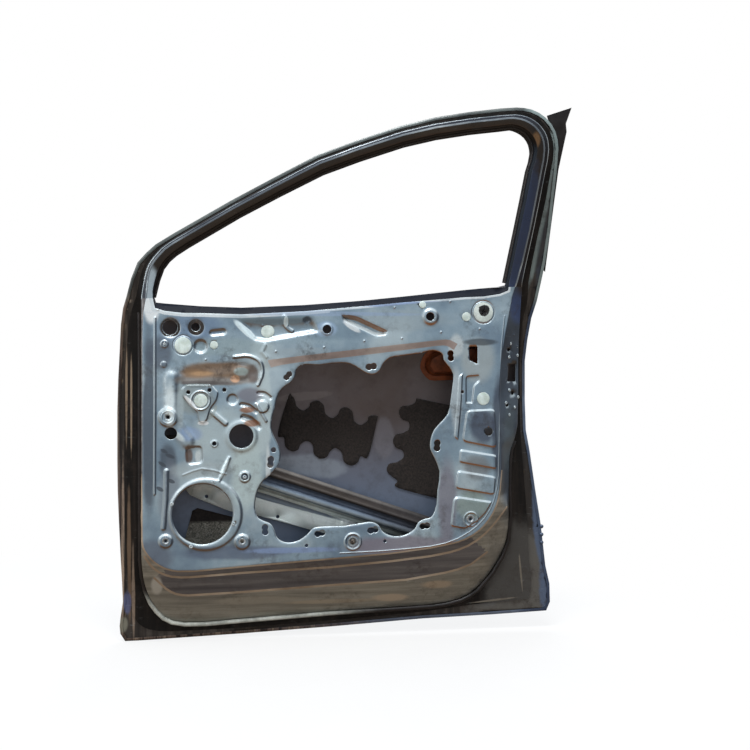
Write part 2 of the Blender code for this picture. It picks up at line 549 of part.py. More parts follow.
class Pressing:
    """An open sheet made of nested outlines, each at its own depth, with the surface spanned between."""

    def __init__(self, outline):
        self.points, self.edges, self.holes = [], [], []
        self.outline = self.ring(outline)

    def ring(self, points, closed=True):
        first, count = len(self.points), len(points)
        self.points += points
        last = count if closed else count - 1
        self.edges += [(first + i, first + (i + 1) % count) for i in range(last)]
        return points

    def hole(self, points):
        self.holes.append(self.ring(points))

    def relief(self, rim, floor, depth):
        """A pocket or, with a negative depth, a pad: the rim, and a floor inside it."""
        self.ring(rim)
        self.ring([p + Vector((0, depth, 0)) for p in floor])

    def crossing(self, spot, outline_edge):
        """Where two outlines cross, on the one that holds the given edge."""
        start, end = (self.points[i] for i in self.edges[outline_edge])
        share = (spot - start.xz).length / (end - start).xz.length
        return start.lerp(end, share)

    def mesh(self):
        flat = [p.xz for p in self.points]
        spots, edges, faces, origins, edge_origins, _ = geometry.delaunay_2d_cdt(flat, self.edges, [], 0, MERGE)
        places = [self.points[origin[0]] if origin else None for origin in origins]
        for edge, outline_edges in zip(edges, edge_origins):
            for i in edge:
                if places[i] is None and outline_edges:
                    places[i] = self.crossing(spots[i], outline_edges[0])
        bm = bmesh.new()
        made = [bm.verts.new(p) for p in places]
        for face in faces:
            x = sum(spots[i].x for i in face) / len(face)
            z = sum(spots[i].y for i in face) / len(face)
            if not inside(x, z, self.outline) or any(inside(x, z, hole) for hole in self.holes):
                continue
            new = bm.faces.new([made[i] for i in face])
            new.normal_update()
            if new.normal.y > 0:
                new.normal_flip()
        bmesh.ops.delete(bm, geom=[v for v in made if not v.link_faces], context="VERTS")
        return bm


def add_object(name, bm, material, thickness=0.0):
    """A mesh object in the door's collection, thickened away from its faces if it is an open sheet."""
    mesh = bpy.data.meshes.new(name)
    bm.to_mesh(mesh)
    bm.free()
    mesh.materials.append(material)
    made = bpy.data.objects.new(name, mesh)
    door.objects.link(made)
    if thickness:
        solid = made.modifiers.new("Thickness", "SOLIDIFY")
        solid.thickness = thickness
        solid.offset = -1
        solid.use_even_offset = True
    return made


def circle(centre, radius, depth, count, away=0.0, reach=0.0):
    """A round outline at a picture point, or at a reach from it in the direction `away`."""
    middle = place(*centre, depth) + Vector((reach * cos(away), 0, reach * sin(away)))
    turns = [2 * pi * k / count for k in range(count)]
    return [at_depth(middle + Vector((radius * cos(t), 0, radius * sin(t))), depth) for t in turns]


def slot(start, end, half_width, depth, steps=3):
    """A long round-ended outline between two picture points."""
    first, last = place(*start, depth), place(*end, depth)
    along = Vector((last.x - first.x, 0, last.z - first.z)).normalized()
    across = Vector((-along.z, 0, along.x))
    result = []
    for middle, sign in ((last, 1), (first, -1)):
        for k in range(steps + 1):
            turn = pi * (k / steps - 0.5)
            result.append(middle + (along * cos(turn) + across * sin(turn)) * sign * half_width)
    return [at_depth(p, depth) for p in result]


def keyhole(ax, ay, bx, by, depth, steps=4):
    """Two overlapping round holes in one outline."""
    first, last = place(ax, ay, depth), place(bx, by, depth)
    along = Vector((last.x - first.x, 0, last.z - first.z))
    radius = along.length * KEYHOLE_RADIUS_SHARE
    along.normalize()
    across = Vector((-along.z, 0, along.x))
    result = []
    for middle, sign in ((last, 1), (first, -1)):
        for k in range(steps + 1):
            turn = KEYHOLE_TURN * (2 * k / steps - 1)
            result.append(middle + (along * cos(turn) + across * sin(turn)) * sign * radius)
    return [at_depth(p, depth) for p in result]


def frame_ring(which, depth):
    """The part of a rim that follows the window frame, front foot first."""
    line = []
    for row in FRAME_STATIONS_PX:
        outer, inner = Vector(row[0]), Vector(row[1])
        shares = dict(zip(FRAME_LINES, row[2:]), outer=0.0, window=1.0)
        spot = outer.lerp(inner, shares[which])
        line.append((spot.x, spot.y, depth))
    return line


def rim(table, which, frame_depth, depth_unit):
    """A closed rim: the frame part and the lower part, smoothed and placed."""
    lower = [(row[0], row[1], row[2] * depth_unit if len(row) > 2 else 0.0) for row in table]
    return [place(*p) for p in smooth(frame_ring(which, frame_depth) + lower)]


def material(name, colour, metallic, roughness):
    made = bpy.data.materials.new(name)
    made.use_nodes = True
    shader = made.node_tree.nodes["Principled BSDF"]
    shader.inputs["Base Color"].default_value = (*colour, 1)
    shader.inputs["Metallic"].default_value = metallic
    shader.inputs["Roughness"].default_value = roughness
    return made


def skin_outline():
    px = frame_ring("outer", 0.0) + [(row[0], row[1], 0.0) for row in SKIN_LOWER_PX]
    return [place(p.x, p.y, skin_rim) for p in smooth(px)]


def window_edge(depth):
    frame_part = frame_ring("window", 0.0)
    return [place(p.x, p.y, depth) for p in smooth(frame_part + [(x, y, 0.0) for x, y in BELT_EDGE_PX])]


def latch_depth(px, py):
    """Depth of the sloping latch face between the trim edge and the ledge line."""
    bend_px, bend_py = LATCH_BEND
    near = bend_px - (py - bend_py) * LATCH_EDGE_SLOPE_SHARE if py < bend_py else LATCH_LOWER_EDGE_PX
    share = min(max((px - near) / (LATCH_FAR_EDGE_PX - near), 0.0), 1.0)
    return LATCH_DEPTH_SHARE * rim_depth * share


def latch_hole(px, py, behind, count=8):
    """A round hole through the latch face or the plate behind it."""
    result = []
    for k in range(count):
        turn = 2 * pi * k / count
        spot = px + LATCH_BOLT_RADIUS_PX * cos(turn), py + LATCH_BOLT_RADIUS_PX * sin(turn)
        result.append(place(*spot, latch_depth(*spot) + behind))
    return result


def inner_panel(steel):
    """The pressed inner panel with the window frame's inner half, from one sheet."""
    flange_depth = lambda x, z: skin_rim(x, z) - hem_gap - sheet
    flange = [at_depth(p, flange_depth(p.x, p.z)) for p in inset(skin_outline(), 2 * sheet)]
    lip = rim(LIP_LOWER_PX, "lip", FRAME_LIP_SHARE * frame_skin_depth, rim_depth)
    ledge = rim(LEDGE_LOWER_PX, "ledge", hinge_top_depth, rim_depth)
    face = rim(FACE_LOWER_PX, "face", 0.0, rim_depth)

    panel = Pressing(flange)
    panel.ring([at_depth(p, flange_depth(p.x, p.z)) for p in inset(lip, -sheet / 2)])
    panel.ring(lip)
    foot = []
    for p in inset(ledge, -wall_draft):
        nearest = min(lip, key=lambda q: (q.x - p.x) ** 2 + (q.z - p.z) ** 2)
        foot.append(at_depth(p, nearest.y - lean(nearest.z) + hinge_mount_depth - 2 * sheet))
    panel.ring(foot)
    panel.ring(ledge)
    panel.ring(face)
    panel.ring([place(*p) for p in smooth([(x, y, d * rim_depth) for x, y, d in SILL_ROUND_PX], False)], False)
    panel.ring([place(*p) for p in smooth([(x, y, d * rim_depth) for x, y, d in SILL_CREASE_PX], False)], False)

    panel.hole(window_edge(frame_return))
    line = frame_ring("return", 0.0) + [(x, y, 0.0) for x, y in BELT_LINE_PX]
    panel.ring([place(*p) for p in smooth(line)])

    panel.hole([place(*p) for p in smooth([(x, y, d * panel_relief) for x, y, d in MODULE_OPENING_PX])])
    panel.ring([place(*p) for p in smooth([(x, y, 0.0) for x, y in BAND_TOP_PX], False)], False)
    panel.ring([place(*p) for p in smooth([(x, y, d * panel_relief) for x, y, d in BAND_FOOT_PX], False)], False)
    for i, ends in enumerate(KEYHOLES_PX):
        panel.hole(keyhole(*ends, panel_relief if i < 3 else 0.0))
    ring = circle(SPEAKER_PX, speaker_ring_radius, 0.0, SPEAKER_SIDES, 0.0, speaker_ring_shift)
    panel.relief(ring, inset(ring, speaker_ring_wall), -panel_relief)
    panel.hole(circle(SPEAKER_PX, speaker_radius, -panel_relief, SPEAKER_SIDES))
    for turn in SPEAKER_SCREW_TURNS:
        panel.hole(circle(
            SPEAKER_PX, speaker_screw_radius, -panel_relief, SCREW_HOLE_SIDES, turn, speaker_screw_reach))

    for outline, depth in POCKETS_PX.values():
        corners = [place(*p) for p in outline]
        panel.relief(rounded(corners), rounded(inset(corners, wall_run)), depth)
    for start, end, half_width, depth in BEADS_PX:
        floor = slot(start, end, half_width * BEAD_FLOOR_SHARE, 0.0)
        panel.relief(slot(start, end, half_width, 0.0), floor, depth)
    for centre, radius, depth in ROUNDS_PX:
        floor = circle(centre, radius * ROUND_FLOOR_SHARE, 0.0, HOLE_SIDES)
        panel.relief(circle(centre, radius, 0.0, HOLE_SIDES), floor, depth)
    for centre, radius, depth in HOLES_PX:
        sides = HOLE_SIDES if radius > bead_half_width else SMALL_HOLE_SIDES
        panel.hole(circle(centre, radius, depth, sides))
    for centre, radius, depth in list(PLUGS_PX.values()) + [TRIM_CLIP_PX]:
        panel.hole(circle(centre, radius * PLUG_HOLE_SHARE, depth, HOLE_SIDES))
    for centre, radius, depth in INSERTS_PX.values():
        bore = (radius * insert_barrel_share + gap) / cos(pi / HOLE_SIDES)
        panel.hole(circle(centre, bore, depth, HOLE_SIDES))
    panel.hole([place(p.x, p.y, 0.0) for p in rounded(LATCH_SLOT_PX, LATCH_CORNER_SHARE, 1)])
    panel.hole([place(p.x, p.y, latch_depth(p.x, p.y)) for p in rounded(LATCH_NOTCH_PX, LATCH_CORNER_SHARE, 1)])
    for spot in LATCH_BOLTS_PX:
        panel.hole(latch_hole(*spot, 0.0))
    return add_object("inner_panel", panel.mesh(), steel, sheet)


def outer_skin(steel):
    """The outer panel with its hem folded over the inner panel's flange, and the handle cup."""
    outline = skin_outline()
    skin = Pressing(outline)
    skin.hole(window_edge(skin_rim))
    skin.ring([at_depth(p, skin_rim(p.x, p.z)) for p in inset(outline, 2 * hem_width)])
    cup = [place(p.x, p.y, skin_depth) for p in rounded(HANDLE_CUP_PX, CUP_CORNER_SHARE)]
    cup_floor = [at_depth(p, skin_depth(p.x, p.z) - handle_cup_depth) for p in inset(cup, cup_wall_run)]
    skin.ring([at_depth(p, skin_depth(p.x, p.z)) for p in inset(cup, -cup_rim)])
    skin.ring(cup)
    skin.ring(cup_floor)
    for table in (CUP_SLOT_FRONT_PX, CUP_SLOT_REAR_PX):
        corners = rounded(table, CUP_SLOT_CORNER_SHARE, 1)
        skin.hole([place(p.x, p.y, lambda x, z: skin_depth(x, z) - handle_cup_depth) for p in corners])
    low = min(p.z for p in outline)
    left, right = min(p.x for p in outline), max(p.x for p in outline)
    keep_in = inset(outline, 3 * hem_width)
    keep_out = inset(cup, -cup_rim - skin_grid / 4)
    columns = ceil((right - left) / skin_grid)
    rows = ceil((belt_z - low) / skin_grid)
    for i in range(1, columns):
        for k in range(rows):
            x, z = left + i * skin_grid, low + (k + 0.5) * skin_grid
            if inside(x, z, keep_in) and not inside(x, z, keep_out) and z < belt_z - skin_grid / 3:
                skin.points.append(at_depth(Vector((x, 0, z)), skin_depth(x, z)))
    bm = skin.mesh()
    bm.verts.ensure_lookup_table()
    count = len(outline)
    by_place = {(round(v.co.x, 7), round(v.co.z, 7)): v for v in bm.verts}
    edge = [by_place[(round(p.x, 7), round(p.z, 7))] for p in outline]
    pocket = sheet + 2 * hem_gap
    rise = [bm.verts.new(p - Vector((0, pocket, 0))) for p in outline]
    lip = [bm.verts.new(p - Vector((0, pocket, 0))) for p in inset(outline, hem_width)]
    for first, second in ((edge, rise), (rise, lip)):
        for i in range(count):
            k = (i + 1) % count
            bm.faces.new((first[i], first[k], second[k], second[i]))
    bmesh.ops.recalc_face_normals(bm, faces=bm.faces)
    bm.faces.ensure_lookup_table()
    middle = min(bm.faces, key=lambda f: (f.calc_center_median() - Vector((rear_x / 2, 0, 0))).length)
    if middle.normal.y > 0:
        bmesh.ops.reverse_faces(bm, faces=bm.faces)
    return add_object("outer_skin", bm, steel, sheet)


def turned(name, centre, depth, profile, surface, count=20):
    """A piece turned about the line through a picture point: profile points are radius and depth."""
    bm = bmesh.new()
    verts = [bm.verts.new((radius, 0, along)) for radius, along in reversed(profile)]
    for here, after in zip(verts, verts[1:]):
        bm.edges.new((here, after))
    if profile[0][0] > 0:
        bm.edges.new((verts[-1], verts[0]))
    made = add_object(name, bm, surface)
    made.location = place(*centre, depth)
    made.rotation_euler = (radians(-90), 0, 0)
    spin = made.modifiers.new("Turn", "SCREW")
    spin.steps = spin.render_steps = count
    spin.use_merge_vertices = True
    spin.merge_threshold = SEAM
    return made


def plug(name, centre, radius, depth, plastic):
    """A blanking plug: a thin cap on the face and a hollow skirt through the hole."""
    skirt = radius * PLUG_HOLE_SHARE * cos(pi / HOLE_SIDES) - gap
    top, crown = gap + cap_thickness, cap_thickness * CAP_CROWN_SHARE
    cap = tuple((radius * out, -top - crown * rise) for out, rise in CAP_SHARES)
    profile = cap + (
        (radius, -gap - cap_thickness * CAP_EDGE_SHARE), (radius, -gap),
        (skirt, -gap), (skirt, skirt_depth), (skirt - skirt_wall, skirt_depth),
        (skirt - skirt_wall, -gap), (0.0, -gap),
    )
    return turned(name, centre, depth, profile, plastic)


def insert(name, centre, radius, depth, metal):
    """A threaded insert: a flange on the face, a barrel through the hole and a bore through both."""
    bore, barrel = radius * insert_bore_share, radius * insert_barrel_share
    profile = (
        (bore, -gap - insert_flange), (radius * FLANGE_TOP_SHARE, -gap - insert_flange),
        (radius, -gap - insert_flange * FLANGE_EDGE_SHARE),
        (radius, -gap), (barrel, -gap), (barrel, insert_depth), (bore, insert_depth),
    )
    return turned(name, centre, depth, profile, metal, 16)


def swept(name, path, section, base, surface, thickness=0.0):
    """A section carried along a path in the door: a closed bar, or a bent sheet if it has a thickness.

    Section points are the run outwards from the path and the depth from base(x, z).
    """
    bm = bmesh.new()
    rings = []
    for i, here in enumerate(path):
        before, after = path[max(i - 1, 0)], path[min(i + 1, len(path) - 1)]
        along = Vector((after.x - before.x, 0, after.z - before.z)).normalized()
        out = Vector((-along.z, 0, along.x))
        spots = [here + out * run for run, _ in section]
        depths = [base(p.x, p.z) + depth for p, (_, depth) in zip(spots, section)]
        rings.append([bm.verts.new(at_depth(p, depth)) for p, depth in zip(spots, depths)])
    count = len(section)
    for first, second in zip(rings, rings[1:]):
        for k in range(count - 1 if thickness else count):
            j = (k + 1) % count
            bm.faces.new((first[k], first[j], second[j], second[k]))
    if not thickness:
        bm.faces.new(rings[0])
        bm.faces.new(reversed(rings[-1]))
        bmesh.ops.recalc_face_normals(bm, faces=bm.faces)
    return add_object(name, bm, surface, thickness)


def tube_section(radius, run, depth, count=8):
    """A round section with its middle at a run and a depth."""
    turns = [2 * pi * k / count for k in range(count)]
    return [(run + radius * cos(t), depth + radius * sin(t)) for t in turns]


def bent(name, line, low, high, thickness, surface):
    """A sheet bent along straight lines: points of x and depth, carried from one height to another."""
    bm = bmesh.new()
    rows = [[bm.verts.new(at_depth(Vector((x, 0, z)), depth)) for x, depth in line] for z in (low, high)]
    for k in range(len(line) - 1):
        bm.faces.new((rows[0][k], rows[0][k + 1], rows[1][k + 1], rows[1][k]))
    return add_object(name, bm, surface, thickness)


def block(name, size, middle, surface):
    bm = bmesh.new()
    bmesh.ops.create_cube(bm, size=1)
    for vert in bm.verts:
        vert.co = Vector(a * b for a, b in zip(vert.co, size)) + middle
    return add_object(name, bm, surface)


def cutter(name, bm):
    mesh = bpy.data.meshes.new(name)
    bm.to_mesh(mesh)
    bm.free()
    made = bpy.data.objects.new(name, mesh)
    made.display_type = "WIRE"
    made.hide_render = True
    cutters.objects.link(made)
    return made


def cut(target, tool):
    boolean = target.modifiers.new(tool.name, "BOOLEAN")
    boolean.object = tool
    boolean.operation = "DIFFERENCE"
    boolean.solver = "EXACT"


def height(py):
    """The height in the door of a picture row, on the hinge wall."""
    return place(HINGE_WALL_PX, py, hinge_top_depth).z


def pillar_cover(plastic):
    outside = lambda x, z: skin_rim(x, z) + sheet + bond
    cover = Pressing([place(x, y, outside) for x, y in PILLAR_COVER_PX])
    return add_object("pillar_cover", cover.mesh(), plastic, pillar_cover_thickness)


def glass_run(rubber):
    """The channel that guides the window glass, round the front, top and rear of its opening."""
    path = [place(*p) for p in smooth(frame_ring("window", frame_return), False, 3)]
    near, far = frame_return + sheet + 2 * gap, frame_skin_depth - gap
    section = (
        (-run_lip, near), (run_back, near), (run_back, far), (-run_lip, far), (-run_lip, far - run_wall),
        (run_back - run_wall, far - run_wall), (run_back - run_wall, near + run_wall),
        (-run_lip, near + run_wall),
    )
    return swept("glass_run_channel", path, section, lambda x, z: 0.0, rubber)


def seals(rubber):
    """The thin seal in the frame's groove and the tube seal round the lower door."""
    frame_path = [place(*p) for p in smooth(frame_ring("ledge", hinge_top_depth)[1:-1], False)]
    floor = FRAME_LIP_SHARE * frame_skin_depth - 2 * sheet
    section = tube_section(
        frame_seal_radius, frame_seal_radius + wall_draft + 2 * gap, floor - frame_seal_radius - 2 * gap, 6)
    swept("frame_seal", frame_path, section, lambda x, z: 0.0, rubber)

    lip = rim(LIP_LOWER_PX, "lip", FRAME_LIP_SHARE * frame_skin_depth, rim_depth)
    lower = [
        (x, y, share * rim_depth) for x, y, share in LEDGE_LOWER_PX if y > DOOR_SEAL_TOP_PY or x < PICTURE_MIDDLE
    ]
    path = [place(*p) for p in smooth(lower, False, 3)]

    def foot(x, z):
        nearest = min(lip, key=lambda q: (q.x - x) ** 2 + (q.z - z) ** 2)
        return nearest.y - lean(nearest.z) + hinge_mount_depth - 2 * sheet

    section = tube_section(seal_radius, seal_radius + wall_draft + gap, -seal_radius - seal_float)
    spots = {}
    for p in path:
        spots[(round(p.x, 6), round(p.z, 6))] = foot(p.x, p.z)

    def base(x, z):
        nearest = min(spots, key=lambda q: (q[0] - x) ** 2 + (q[1] - z) ** 2)
        return spots[nearest]

    swept("door_seal", path, section, base, rubber)


def beam(steel, bracket_steel):
    """The side impact beam across the door, and the brackets it ends on."""
    front, rear = place(*BEAM_FRONT_PX, beam_depth), place(*BEAM_REAR_PX, beam_depth)
    share = beam_end_run / (rear - front).length
    bm = bmesh.new()
    along = Vector((rear.x - front.x, 0, rear.z - front.z)).normalized()
    up = Vector((-along.z, 0, along.x))
    rows = []
    for t, rise in ((0.0, BEAM_END_SHARE), (share, 1.0), (1 - share, 1.0), (1.0, BEAM_END_SHARE)):
        here = front.lerp(rear, t)
        rows.append([
            bm.verts.new(here + up * across * beam_half_height - Vector((0, lift * rise * beam_rise, 0)))
            for across, lift in BEAM_SECTION_SHARES
        ])
    for first, second in zip(rows, rows[1:]):
        for k in range(len(first) - 1):
            bm.faces.new((first[k], second[k], second[k + 1], first[k + 1]))
    add_object("impact_beam", bm, steel, beam_sheet)

    under = beam_depth + beam_sheet + gap
    inner_x = wall_stack_x(reinforcement_sheet, check_plate[0])
    x = place(*BRACKET_FRONT_PX, under).x
    seat = under + bracket_sheet
    line = ((x, seat), (inner_x, seat), (inner_x, hinge_mount_depth - check_plate[1] / 2))
    front_bracket = bent("beam_bracket_front", line, height(BRACKET_FRONT_PX[1] + BRACKET_HALF_PY),
                         height(BRACKET_FRONT_PX[1] - BRACKET_HALF_PY), bracket_sheet, bracket_steel)

    left, tab, web = (place(px, BRACKET_REAR_PY[0], under).x for px in BRACKET_REAR_PX)
    low, high = height(BRACKET_REAR_PY[1]), height(BRACKET_REAR_PY[0])
    top = sheet + gap + bracket_sheet
    line = ((left, under), (web, under), (web, top), (tab, top))
    bent("beam_bracket_rear", line, low, high, bracket_sheet, bracket_steel)
    return front_bracket


def wall_stack_x(*thicknesses):
    """Where the next piece begins on the inside of the hinge wall."""
    return sheet + wall_draft + gap + sum(t + gap for t in thicknesses)


def hinge_side(steel, plate_steel, panel, bracket):
    """Reinforcement, tapping plates and check strap plate on the inside of the hinge wall."""
    x = wall_stack_x()
    line = ((x, wall_leg_depth), (x, sheet + gap + reinforcement_bend),
            (x + reinforcement_bend, sheet + gap), (reinforcement_leg, sheet + gap))
    reinforcement = bent("hinge_reinforcement", line, height(REINFORCEMENT_FOOT_PY), height(REINFORCEMENT_TOP_PY),
                         reinforcement_sheet, steel)
    next_x = wall_stack_x(reinforcement_sheet)
    for name, py in (("hinge_plate_upper", HINGE_UPPER_PY), ("hinge_plate_lower", HINGE_LOWER_PY)):
        middle = Vector((next_x + tapping_plate[0] / 2, 0, height(py)))
        plate = block(name, tapping_plate, middle, plate_steel)
        for side in (-1, 1):
            bm = bmesh.new()
            bmesh.ops.create_cone(
                bm, cap_ends=True, segments=16, radius1=hinge_bolt_radius, radius2=hinge_bolt_radius,
                depth=2 * (next_x + tapping_plate[0] + overrun))
            bmesh.ops.rotate(bm, verts=bm.verts, matrix=Matrix.Rotation(radians(90), 3, "Y"))
            spot = Vector((0, 0, middle.z + side * hinge_bolt_spread / 2))
            bmesh.ops.translate(bm, verts=bm.verts, vec=spot)
            tool = cutter(f"{name}_bolt_{side}", bm)
            for target in (panel, reinforcement, plate):
                cut(target, tool)
    middle = Vector((next_x + check_plate[0] / 2, 0, height(CHECK_STRAP_PY)))
    plate = block("check_strap_plate", check_plate, middle, plate_steel)
    bm = bmesh.new()
    bmesh.ops.create_cube(bm, size=1)
    for vert in bm.verts:
        size = (2 * (next_x + check_plate[0] + bracket_sheet + overrun), *check_slot)
        vert.co = Vector(a * b for a, b in zip(vert.co, size)) + Vector((0, 0, middle.z))
    tool = cutter("check_strap_slot", bm)
    for target in (panel, reinforcement, plate, bracket):
        cut(target, tool)


def latch_plate(steel):
    depth = lambda px, py: latch_depth(px, py) + latch_stand_off
    plate = Pressing([place(x, y, depth(x, y)) for x, y in LATCH_PLATE_PX])
    notch = [place(p.x, p.y, depth(p.x, p.y)) for p in rounded(LATCH_NOTCH_PX, LATCH_CORNER_SHARE, 1)]
    plate.hole(inset(notch, -sheet))
    for spot in LATCH_BOLTS_PX:
        plate.hole(latch_hole(*spot, latch_stand_off))
    return add_object("latch_reinforcement", plate.mesh(), steel, reinforcement_sheet)


def mirror_plate(steel):
    plate = Pressing([place(p.x, p.y, sheet + gap) for p in rounded(MIRROR_PLATE_PX)])
    for centre, radius in MIRROR_HOLES_PX:
        plate.hole(circle(centre, radius, sheet + gap, MIRROR_HOLE_SIDES))
    return add_object("mirror_reinforcement", plate.mesh(), steel, reinforcement_sheet)


def on_skin(name, outline, holes, thickness, surface, round_share=0.0):
    """A sheet that follows the inside of the outer skin."""
    depth = lambda x, z: skin_depth(x, z) - bond - thickness
    line = rounded(outline, round_share, 1) if round_share else [Vector(p) for p in outline]
    piece = Pressing([place(p.x, p.y, depth) for p in line])
    for hole in holes:
        piece.hole([at_depth(p, depth(p.x, p.z)) for p in hole])
    return add_object(name, piece.mesh(), surface, thickness)


def handle_bracket(steel):
    """The plate round the handle's cup, on the inside of the outer skin."""
    depth = lambda p: skin_depth(p.x, p.z) - bond - bracket_sheet
    cup = [place(p.x, p.y, skin_depth) for p in rounded(HANDLE_CUP_PX, CUP_CORNER_SHARE)]
    plate = Pressing([at_depth(p, depth(p)) for p in inset(cup, -handle_bracket_rim)])
    plate.hole([at_depth(p, depth(p)) for p in inset(cup, -cup_clearance)])
    return add_object("handle_bracket", plate.mesh(), steel, bracket_sheet)


def rails(steel):
    inner = [place(x, y, 0.0) for x, y in reversed(RAIL_INNER_PX)]
    seat = pocket_relief + sheet + gap + rail_sheet
    swept("belt_rail_inner", inner, RAIL_INNER_SECTION, lambda x, z: seat, steel, rail_sheet)
    outer = [place(x, y, skin_rim) for x, y in reversed(RAIL_OUTER_PX)]
    swept("belt_rail_outer", outer, RAIL_OUTER_SECTION, lambda x, z: skin_depth(x, z) - bond, steel, rail_sheet)


def tear(plug_object, centre, radius):
    """The hole torn in a plug's cap."""
    middle = place(*centre, 0.0)
    bm = bmesh.new()
    rows = []
    for side in (-1, 1):
        rows.append([
            bm.verts.new(middle + Vector((share * radius * cos(radians(turn)), side * overrun,
                                          share * radius * sin(radians(turn)))))
            for share, turn in TEAR_SHARES
        ])
    count = len(TEAR_SHARES)
    for k in range(count):
        j = (k + 1) % count
        bm.faces.new((rows[0][k], rows[0][j], rows[1][j], rows[1][k]))
    bm.faces.new(rows[0])
    bm.faces.new(reversed(rows[1]))
    bmesh.ops.recalc_face_normals(bm, faces=bm.faces)
    cut(plug_object, cutter("plug_tear", bm))


def collection(name, parent):
    made = bpy.data.collections.new(name)
    parent.children.link(made)
    return made


def remove_start_scene():
    for old in list(bpy.data.objects):
        bpy.data.objects.remove(old)


remove_start_scene()
door = collection("Car door shell", bpy.context.scene.collection)
cutters = collection("Cutters", bpy.context.scene.collection)
cutters.hide_render = True

painted = material("painted steel", (0.25, 0.30, 0.35), 0.6, 0.35)
primed = material("primed steel", (0.16, 0.15, 0.15), 0.3, 0.5)
plated = material("plated steel", (0.42, 0.38, 0.30), 0.8, 0.4)
bronze = material("painted handle bracket", (0.22, 0.12, 0.07), 0.4, 0.45)
black_rubber = material("black rubber", (0.012, 0.011, 0.011), 0.0, 0.65)
black_plastic = material("black plastic", (0.015, 0.014, 0.014), 0.0, 0.4)
white_plastic = material("white plastic", (0.75, 0.80, 0.76), 0.0, 0.35)
felt = material("damping felt", (0.035, 0.028, 0.026), 0.0, 0.95)

inner = inner_panel(painted)
outer_skin(painted)
pillar_cover(black_plastic)
glass_run(black_rubber)
seals(black_rubber)
front_bracket = beam(primed, primed)
hinge_side(painted, plated, inner, front_bracket)
latch_plate(painted)
mirror_plate(painted)
rails(primed)

handle_bracket(bronze)
on_skin("damping_pad_front", PAD_FRONT_PX, (), pad_thickness, felt)
on_skin("damping_pad_rear", PAD_REAR_PX, (), pad_thickness, felt)
on_skin("damping_pad_lower", PAD_LOWER_PX, (), pad_thickness, felt, PAD_CORNER_SHARE)
for name, (centre, radius, depth) in PLUGS_PX.items():
    made = plug(name, centre, radius, depth, white_plastic)
    if name == "plug_rear_torn":
        tear(made, centre, radius)
for name, (centre, radius, depth) in INSERTS_PX.items():
    insert(name, centre, radius, depth, plated)
plug("trim_clip", *TRIM_CLIP_PX, black_plastic)
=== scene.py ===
"""Dresses the car door shell: the pressed panel in full relief, paint, fittings, light, floor and camera.

Picture places are pixels of a square-on view 750 pixels wide. place() turns them into metres in the
same frame as the solids: +X to the rear of the car, +Y out of the car, +Z up.
"""
import json
from math import ceil, cos, pi, radians, sin, tan

import bmesh
import bpy
import numpy as np
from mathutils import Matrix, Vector, geometry
from mathutils.bvhtree import BVHTree


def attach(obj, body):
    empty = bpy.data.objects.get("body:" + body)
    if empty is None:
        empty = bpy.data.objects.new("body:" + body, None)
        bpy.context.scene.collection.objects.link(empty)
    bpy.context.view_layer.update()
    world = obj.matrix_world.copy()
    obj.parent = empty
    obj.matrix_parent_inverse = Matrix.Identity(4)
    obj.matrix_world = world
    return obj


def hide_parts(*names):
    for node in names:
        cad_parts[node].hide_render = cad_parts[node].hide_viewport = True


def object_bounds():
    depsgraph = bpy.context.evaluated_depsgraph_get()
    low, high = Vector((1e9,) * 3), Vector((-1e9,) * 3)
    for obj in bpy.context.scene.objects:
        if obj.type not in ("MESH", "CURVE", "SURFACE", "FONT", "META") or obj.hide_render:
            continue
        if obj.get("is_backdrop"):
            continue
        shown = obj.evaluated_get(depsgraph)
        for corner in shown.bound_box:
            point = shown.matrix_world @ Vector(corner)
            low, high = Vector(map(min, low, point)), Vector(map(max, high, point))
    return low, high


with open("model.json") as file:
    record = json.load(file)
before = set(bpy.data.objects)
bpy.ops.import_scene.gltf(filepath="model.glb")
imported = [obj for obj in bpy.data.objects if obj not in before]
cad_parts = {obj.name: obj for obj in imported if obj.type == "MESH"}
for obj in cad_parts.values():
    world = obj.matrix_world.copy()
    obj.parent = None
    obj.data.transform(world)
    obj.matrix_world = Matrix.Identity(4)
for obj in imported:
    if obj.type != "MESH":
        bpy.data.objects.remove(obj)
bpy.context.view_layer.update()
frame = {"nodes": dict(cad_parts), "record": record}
nodes = frame["nodes"]

# The door's sizes and the picture's eye, as in the solids' source
door_length, door_height, rim_depth = 1.022, 1.258, 0.075
view_distance, hinge_mount_depth = 2.6, 0.027
PICTURE_MIDDLE, FOCAL_PX, VIEW_YAW = 375, 1100, radians(8)
METRES_PER_PX = 0.00235
TIP_PX, FOOT_PX, HINGE_WALL_PX, HINGE_UPPER_PY = (571, 108), (125, 641), 141.2, 376
BELT_PY, SILL_PY, REAR_EDGE_PX = 305, 640, 525
HINGE_TOP_SHARE, FRAME_LIP_SHARE = 0.05, 0.83
frame_skin_depth, waist_skin_depth, sill_tuck, skin_bulge = 0.0415, 0.085, 0.005, 0.030
belt_fade, frame_lean_round, BELT_FADE_ABOVE_SHARE = 0.32, 0.12, 0.3
FRAME_LEAN = tan(radians(13))
sheet, gap, hem_gap, wall_draft = 0.001, 0.0003, 0.0006, 0.0001
panel_relief, pocket_relief, frame_return = 0.0045, 0.009, 0.012
bond, pad_thickness, handle_cup_depth = 0.0012, 0.0025, 0.026
insert_barrel_share, PLUG_HOLE_SHARE, CORNER_SHARE = 0.66, 0.8, 0.28
big_hole = 0.006              # a radius from which holes get twice the points
beam_flange_depth = 0.083
beam_flange_hole = 0.0042

